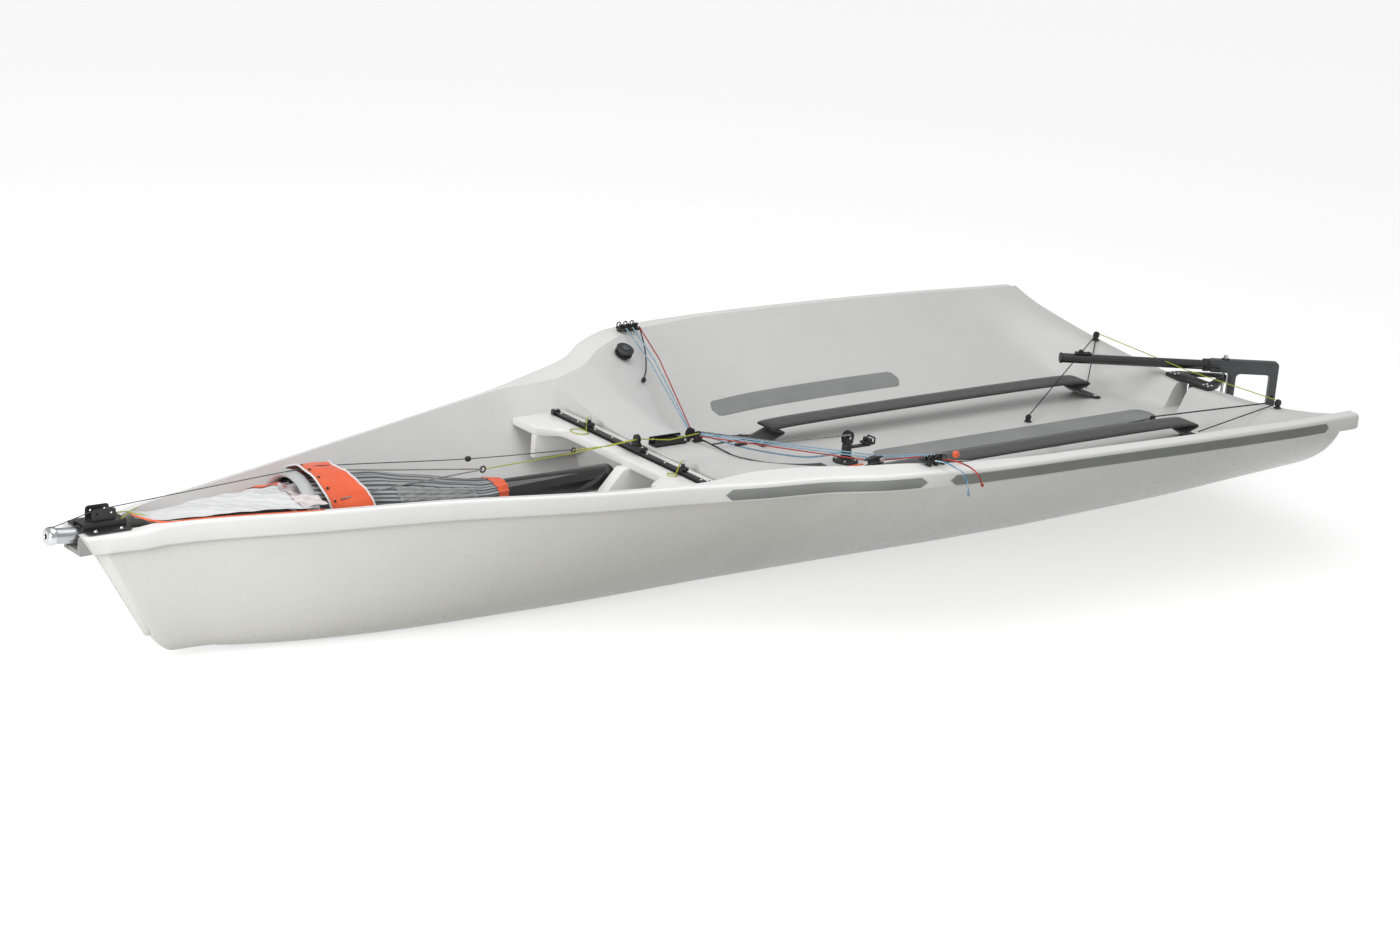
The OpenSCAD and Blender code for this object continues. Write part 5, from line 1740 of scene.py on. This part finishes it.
    def ratchet(self, sign: int) -> None:
        """Makes one ratchet block on the wing's side."""
        b = self.lines
        st, y = 53.6, 640
        tilt = turn("X", sign * self.slope(st, y))
        place = at(b.x_at(st, y), sign * y, b.deck_z(st, y), tilt)
        side = "port" if sign > 0 else "starboard"
        m = Maker(place)
        m.lathe([(20, -2), (22, 4), (20, 8)], m.where(0, 0, 0), 32)
        m.sheave(30, 26, m.where(0, 0, 22))
        show(m.done(f"ratchet_{side}"), Body.HULL, BLACK_PLASTIC, "black_plastic", "ratchet_blocks")
        m = Maker(place)
        m.lathe([(13, 0), (12, 1.8), (4, 3)], m.where(0, 0, 36.5), 28)
        show(m.done(f"ratchet_cap_{side}"), Body.HULL, GREY_METAL, "grey_metal")

    def cleats(self, sign: int) -> None:
        """Makes three cam cleats in a row on one gunwale's inner edge."""
        b = self.lines
        st = 56.2
        side = "port" if sign > 0 else "starboard"
        m, pins = Maker(at(b.x_at(st), sign * (b.sheer_y(st) - 76), b.sheer_h(st) + 8)), None
        for i in (-1, 0, 1):
            m.block((19, 48, 8), m.where(i * 27, 0, 4), 2)
            m.block((12, 18, 9), m.where(i * 27, sign * 12, -3), 1.5)
            for s in (-1, 1):
                m.lathe([(5.4, 0), (6, 2), (5.4, 4), (6, 6), (5.4, 8), (6, 10), (4.5, 12)],
                        m.where(i * 27 + s * 5.6, -2, 8), 16)
            m.ring(8, 2, m.where(i * 27, sign * 19, 14, turn("X", 90)), 20)
        show(m.done(f"cleats_{side}"), Body.HULL, BLACK_PLASTIC, "black_plastic", "line_cleats")
        pins = Maker(at(b.x_at(st), sign * (b.sheer_y(st) - 76), b.sheer_h(st) + 8))
        for i in (-1, 0, 1):
            for s in (-1, 1):
                pins.lathe([(2.4, 0), (2.2, 1), (1, 1.6)], pins.where(i * 27 + s * 5.6, -2, 20), 12)
        show(pins.done(f"cleat_pins_{side}"), Body.HULL, STAINLESS, "stainless")

    def floor_eyes(self) -> None:
        """Makes the small blocks on the floor."""
        b = self.lines
        m = Maker(at(0, 0, b.floor_z + 0.5))
        for st, y in ((81.8, 140), (84.2, -96), (93.6, 88)):
            x = b.x_at(st)
            m.lathe([(13, 0), (13, 2), (11, 4.5), (6, 5)], m.where(x, y, 0), 28)
            m.sheave(11, 9, m.where(x, y, 15, turn("X", 90)))
        m.sheave(11, 9, m.where(b.x_at(81.8), 152, 15, turn("X", 90)))
        show(m.done("floor_blocks"), Body.HULL, BLACK_PLASTIC, "black_plastic", "floor_eyes")

    def foot_blocks(self) -> None:
        """Makes the two blocks aft of the mast step and the small stopper beside them."""
        b = self.lines
        x = b.x_at(45.5) - 4 - 122 - 42
        z = b.deck_z(48.8, 20) + 18
        m = Maker(at(x, 0, z))
        for s in (-1, 1):
            m.sheave(16, 13, m.where(0, s * 20, 0, turn("X", 90)))
            m.block((34, 16, 5), m.where(0, s * 20, -15), 1.5)
        m.block((26, 20, 14), m.where(34, 0, -10), 2.5)
        show(m.done("foot_sheaves"), Body.HULL, BLACK_PLASTIC, "black_plastic", "mast_foot_blocks")

    def build(self) -> None:
        """Makes all the cockpit's gear."""
        for side, sign in (("port", 1), ("starboard", -1)):
            strap = show(self.strap(f"strap_{side}", sign), Body.HULL, WEBBING, "webbing",
                         f"toe_strap_{side}")
            self.ratchet(sign)
            self.cleats(sign)
        show(self.label(), Body.HULL, PLATE_WHITE, "white_cloth")
        show(self.strap_bolts(), Body.HULL, STAINLESS, "stainless")
        self.mainsheet()
        self.floor_eyes()
        self.foot_blocks()


# Stern


@dataclass
class SternGear:
    """Bracket, post, hinge and blocks on the transom, and the turning rudder stock with its tiller."""

    lines: Lines
    hinge_x: float = -4565
    tiller_z: float = 401
    tiller_l: float = 590
    tiller_deg: float = 31
    stock_l: float = 195
    stock_low: float = 136

    def bracket(self) -> None:
        """Makes the triangular bracket and its bolts."""
        b = self.lines
        z = b.deck_z(100, 108) + 0.5
        m = Maker(at(0, 0, z))
        back = -b.hull_len
        loop = rounded([(back + 42, 108), (back + 42, -108), (back - 12, -100),
                        (self.hinge_x - 6, -13), (self.hinge_x - 6, 13),
                        (back - 12, 100)], 12)
        m.plate(loop, 12, m.where(0, 0, 0), 1.6,
                [circle(self.hinge_x, 0, 5.2),
                 rounded([(back - 20, 52), (back - 20, -52),
                                                  (self.hinge_x + 34, -12), (self.hinge_x + 34, 12)], 14)])
        m.collar([(5.2, 0), (11.4, 0), (12, 0.8), (12, 15), (5.2, 15)], m.where(self.hinge_x, 0, -14.4))
        show(m.done("stern_bracket"), Body.HULL, BLACK_METAL, "black_metal", "gantry_bracket")
        m = Maker(at(0, 0, z + 12))
        for s in (-1, 1):
            for dx, dy in ((14, 92), (14, 70), (32, 92), (32, 70)):
                m.bolt(5, m.where(back + dx - 4, s * dy, 0))
        show(m.done("bracket_bolts"), Body.HULL, STAINLESS, "stainless")
        for node, finish in (("gantry_post", GREY_METAL), ("lower_gudgeon", GREY_METAL),
                             ("hinge_pin", STAINLESS),
                             ("transom_bungs", BLACK_PLASTIC)):
            dress(node, finish)

    def eyes(self) -> None:
        """Makes the two blocks on top of the transom wall."""
        b = self.lines
        m = Maker(at(0, 0, 0))
        for s in (-1, 1):
            y = s * 445
            x, z = b.x_at(99.45, 445), b.wall_z(445, 99.45) + 3
            m.lathe([(13, 0), (13, 2), (10, 5), (6, 7)], m.where(x, y, z), 28)
            m.sheave(13, 10, m.where(x, y, z + 18, turn("X", 90)))
        show(m.done("stern_blocks"), Body.HULL, BLACK_PLASTIC, "black_plastic", "wing_eyes")

    def steered(self) -> Matrix:
        """Returns the hinge's place, its own X pointing along the tiller."""
        return at(self.hinge_x, 0, 0, turn("Z", -self.tiller_deg))

    def stock(self) -> None:
        """Makes the stock with its open window, and the collar where the tiller enters."""
        z, far = self.tiller_z, self.stock_l
        outer = rounded([(62, z + 23), (-far, z + 23), (-far, 216), (-43, 196),
                         (-43, self.stock_low), (14, self.stock_low),
                         (14, self.stock_low + 34), (-17, self.stock_low + 34), (-17, z - 23), (62, z - 23)],
                         16, 7)
        window = rounded([(-43, z - 25), (28 - far, z - 25), (28 - far, 252), (-43, 226)], 18, 7)
        m = Maker(self.steered())
        m.plate(outer, 30, m.where(0, 15, 0, turn("X", 90)), 3.5, [window, circle(14 - far, 300, 4)])
        show(m.done("stock_frame"), Body.RUDDER, GREY_METAL, "grey_metal", "rudder_stock")
        m = Maker(self.steered())
        m.collar([(17.2, 0), (21.5, 0), (22.5, 1.5), (22.5, 20), (21.5, 22), (17.2, 22)],
                 m.where(58, 0, z, turn("Y", 90)))
        m.collar([(5.2, 0), (13, 0), (13.5, 0.8), (13, 4), (5.2, 4)], m.where(0, 0, z + 23))
        show(m.done("stock_collar"), Body.RUDDER, BLACK_PLASTIC, "black_plastic")

    def tiller(self) -> None:
        """Makes the tiller with its end plug and the extension's foot."""
        z = self.tiller_z
        m = Maker(self.steered())
        m.lathe([(17, 20), (17, self.tiller_l)], m.where(0, 0, z, turn("Y", 90)), 48)
        show(m.done("tiller_tube"), Body.RUDDER, CARBON, "carbon", "tiller")
        m = Maker(self.steered())
        m.lathe([(18, 0.2), (18.6, 1.5), (18.6, 6), (17, 8.2), (8, 8.6)],
                m.where(self.tiller_l, 0, z, turn("Y", 90)), 40)
        show(m.done("tiller_end"), Body.RUDDER, BLACK_PLASTIC, "black_plastic", "tiller_plug")
        m = Maker(self.steered())
        x = self.tiller_l - 74
        top = z + 17.2
        m.plate(rounded([(-30, -12), (30, -12), (30, 12), (-30, 12)], 8), 6, m.where(x, 0, top), 1.5,
                [circle(8, 0, 3)])
        m.collar([(3, 0), (8, 0), (8.5, 1), (8, 8), (3, 8)], m.where(x + 8, 0, top + 6), 24)
        m.bolt(4, m.where(x - 18, 0, top + 6))
        show(m.done("extension_foot"), Body.RUDDER, BLACK_PLASTIC, "black_plastic", "tiller_fitting")

    def build(self) -> None:
        """Makes all the stern's gear."""
        self.bracket()
        self.eyes()
        self.stock()
        self.tiller()


# Taut lines


@dataclass
class TautLines:
    """The wire over the chute and the lines set taut between the fittings."""

    lines: Lines

    def runs(self) -> list[tuple[str, float, Finish, str, Sequence[Point]]]:
        """Returns every taut line as its name, radius, finish, slot and route."""
        b = self.lines
        x0 = b.x_at(45.5) - 168
        cleat_x, cleat_z = b.x_at(56.2), b.sheer_h(56.2) + 20
        cleat_y = b.sheer_y(56.2) - 76
        eye_x, eye_z = b.x_at(99.45, 445), b.wall_z(445, 99.45) + 24
        out: list[tuple[str, float, Finish, str, Sequence[Point]]] = [
            ("wire_long", 1.5, WIRE, "stainless",
             ((-112, 0, 478), (-716, 0, 510), (-860, 0, 507), (-1323, 0, 467), (-1710, 0, 447))),
            ("wire_front", 1.5, WIRE, "stainless", ((60, 0, 446), (44, 0, 445), (-68, 0, 473))),
            ("bridle_far", 2.2, FLECK_LINE, "fleck_rope",
             ((-716, -66, 491), (-1060, -28, 458), (-1377, 0, 428))),
            ("bridle_near", 2.2, FLECK_LINE, "fleck_rope",
             ((-800, 128, 452), (-1080, 60, 441), (-1377, 0, 426))),
            ("jib_line_a", 1.8, YELLOW_LINE, "fleck_rope",
             ((-1385, 0, 427), (-1720, 18, 443), (-1916, 30, 462))),
            ("jib_line_b", 1.8, YELLOW_LINE, "fleck_rope",
             ((-1712, 2, 446), (-1830, 26, 452), (-1920, 42, 466))),
            ("eyelet_a", 1.6, YELLOW_LINE, "fleck_rope", ((-150, 26, 452), (-185, 4, 456), (-222, 30, 452))),
            ("eyelet_b", 1.6, YELLOW_LINE, "fleck_rope",
             ((-150, -26, 452), (-188, -3, 457), (-232, -34, 452))),
            ("step_yellow", 1.8, YELLOW_LINE, "fleck_rope",
             ((-1938, 30, 462), (-2060, 30, 444), (x0 + 4, 26, 450))),
            ("hook_line", 2.4, BLACK_LINE, "fleck_rope",
             ((cleat_x - 27, 24 - cleat_y, cleat_z), (-2470, -650, 505), (-2410, -560, 470),
              (-2369, -516, 452))),
            ("elastic_far", 2.6, BLACK_LINE, "fleck_rope",
             ((-2636, -250, 296), (-2330, -110, 352), (x0 - 6, -34, 430))),
            ("elastic_far_b", 2.0, BLACK_LINE, "fleck_rope",
             ((-2640, -280, 297), (-2380, -190, 350), (x0 + 2, -40, 428))),
            ("elastic_near", 2.6, BLACK_LINE, "fleck_rope",
             ((-2636, 250, 296), (-2330, 110, 352), (x0 - 6, 34, 430))),
            ("stern_far_down", 2.0, BLACK_LINE, "fleck_rope",
             ((eye_x + 6, -440, eye_z), (-3722, -96, b.floor_z + 22))),
            ("stern_far_strap", 2.0, BLACK_LINE, "fleck_rope",
             ((eye_x + 8, -436, eye_z - 4), (-4166, -272, 286))),
            ("stern_near_floor", 2.4, BLACK_LINE, "fleck_rope",
             ((eye_x + 4, 440, eye_z), (b.x_at(93.6), 92, b.floor_z + 24))),
            ("stern_near_strap", 2.0, BLACK_LINE, "fleck_rope",
             ((eye_x + 6, 448, eye_z - 3), (-4162, 282, 288))),
            ("stern_cross", 1.6, YELLOW_LINE, "fleck_rope",
             ((eye_x - 8, -438, eye_z + 2), (eye_x - 8, 0, eye_z - 10),
                                                             (eye_x - 8, 438, eye_z + 2))),
            ("floor_run", 2.4, BLACK_LINE, "fleck_rope", ((b.x_at(93.6) + 14, 88, b.floor_z + 17),
                                                          (b.x_at(81.8) - 14, 140, b.floor_z + 17))),
            ("sheet_run", 2.6, FLECK_LINE, "fleck_rope",
             ((x0 - 6, 20, 452), (-2500, 24, 380), (-2818, 14, 362))),
        ]
        for k, y in enumerate((-27, 0, 27)):
            out.append((f"blue_far_{k}", 2.0, BLUE_LINE if k else RED_LINE, "blue_rope" if k else "red_rope",
                        ((cleat_x + y, 22 - cleat_y, cleat_z), (cleat_x + y * 0.6 + 40, -560, 500 - 6 * k),
                         (x0 - 2, -20 - 4 * k, 448 - 4 * k))))
            out.append((f"blue_near_{k}", 2.0, BLUE_LINE if k < 2 else RED_LINE,
                        "blue_rope" if k < 2 else "red_rope",
                        ((cleat_x + y, cleat_y - 22, cleat_z), (cleat_x + y * 0.6 + 40, 560, 500 - 6 * k),
                         (x0 - 2, 20 + 4 * k, 448 - 4 * k))))
        for k in range(2):
            out.append((f"blue_aft_{k}", 2.0, BLUE_LINE, "blue_rope",
                        ((x0 - 12, -8 + 16 * k, 440), (-2400, -2 + 10 * k, 366), (-2640, 4 + 8 * k, 308),
                         (-2790, 4 + 8 * k, 304))))
        return out

    def build(self) -> None:
        """Makes the wire, the lines and the small pieces on them."""
        for name, r, finish, slot, path in self.runs():
            obj = show(tube(name, path, r, 8, 6 if len(path) > 3 else 0), Body.HULL, finish, slot,
                       *(("forestay_wire",) if name == "wire_long" else ()))
            LOG.debug("line %s", obj.name)
        m = Maker(at(0, 0, 0))
        m.lathe([(3, -9), (7, -7), (9, 0), (7, 7), (3, 9)], m.where(-1323, 0, 467, turn("Y", 90)), 24)
        m.ring(7, 2.2, m.where(-1711, 2, 446, turn("X", 90)))
        m.ring(9, 2.6, m.where(-1380, 0, 427, turn("X", 90)))
        m.sheave(9, 8, m.where(-2366, -512, 450, turn("Y", 70)))
        m.block((44, 14, 9), m.where(-2344, 34, 396), 3, 3)
        show(m.done("line_fittings"), Body.HULL, BLACK_PLASTIC, "black_plastic")
        m = Maker(at(0, 0, 0))
        m.lathe([(3, -11), (9, -8), (11.5, 0), (9, 8), (3, 11)], m.where(-2545, 798, 566), 24)
        m.block((90, 9, 3), m.where(-2760, 104, 292), 1)
        show(m.done("orange_ball"), Body.HULL, ORANGE_BALL, "orange_cloth")


def main() -> None:
    """Builds the boat, one sub-assembly after another."""
    Studio().build()
    FreeRopes().build()
    for part in (Shell, GripPads, BowGear, Chute, MastBeam, CockpitGear, SternGear, TautLines):
        part(LINES).build()
        LOG.info("built %s", part.__name__)
    for name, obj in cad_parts.items():
        if not obj.hide_render and not obj.data.materials:
            dress(name, BLACK_PLASTIC)
    bpy.context.view_layer.update()


if __name__ == "__main__":
    main()
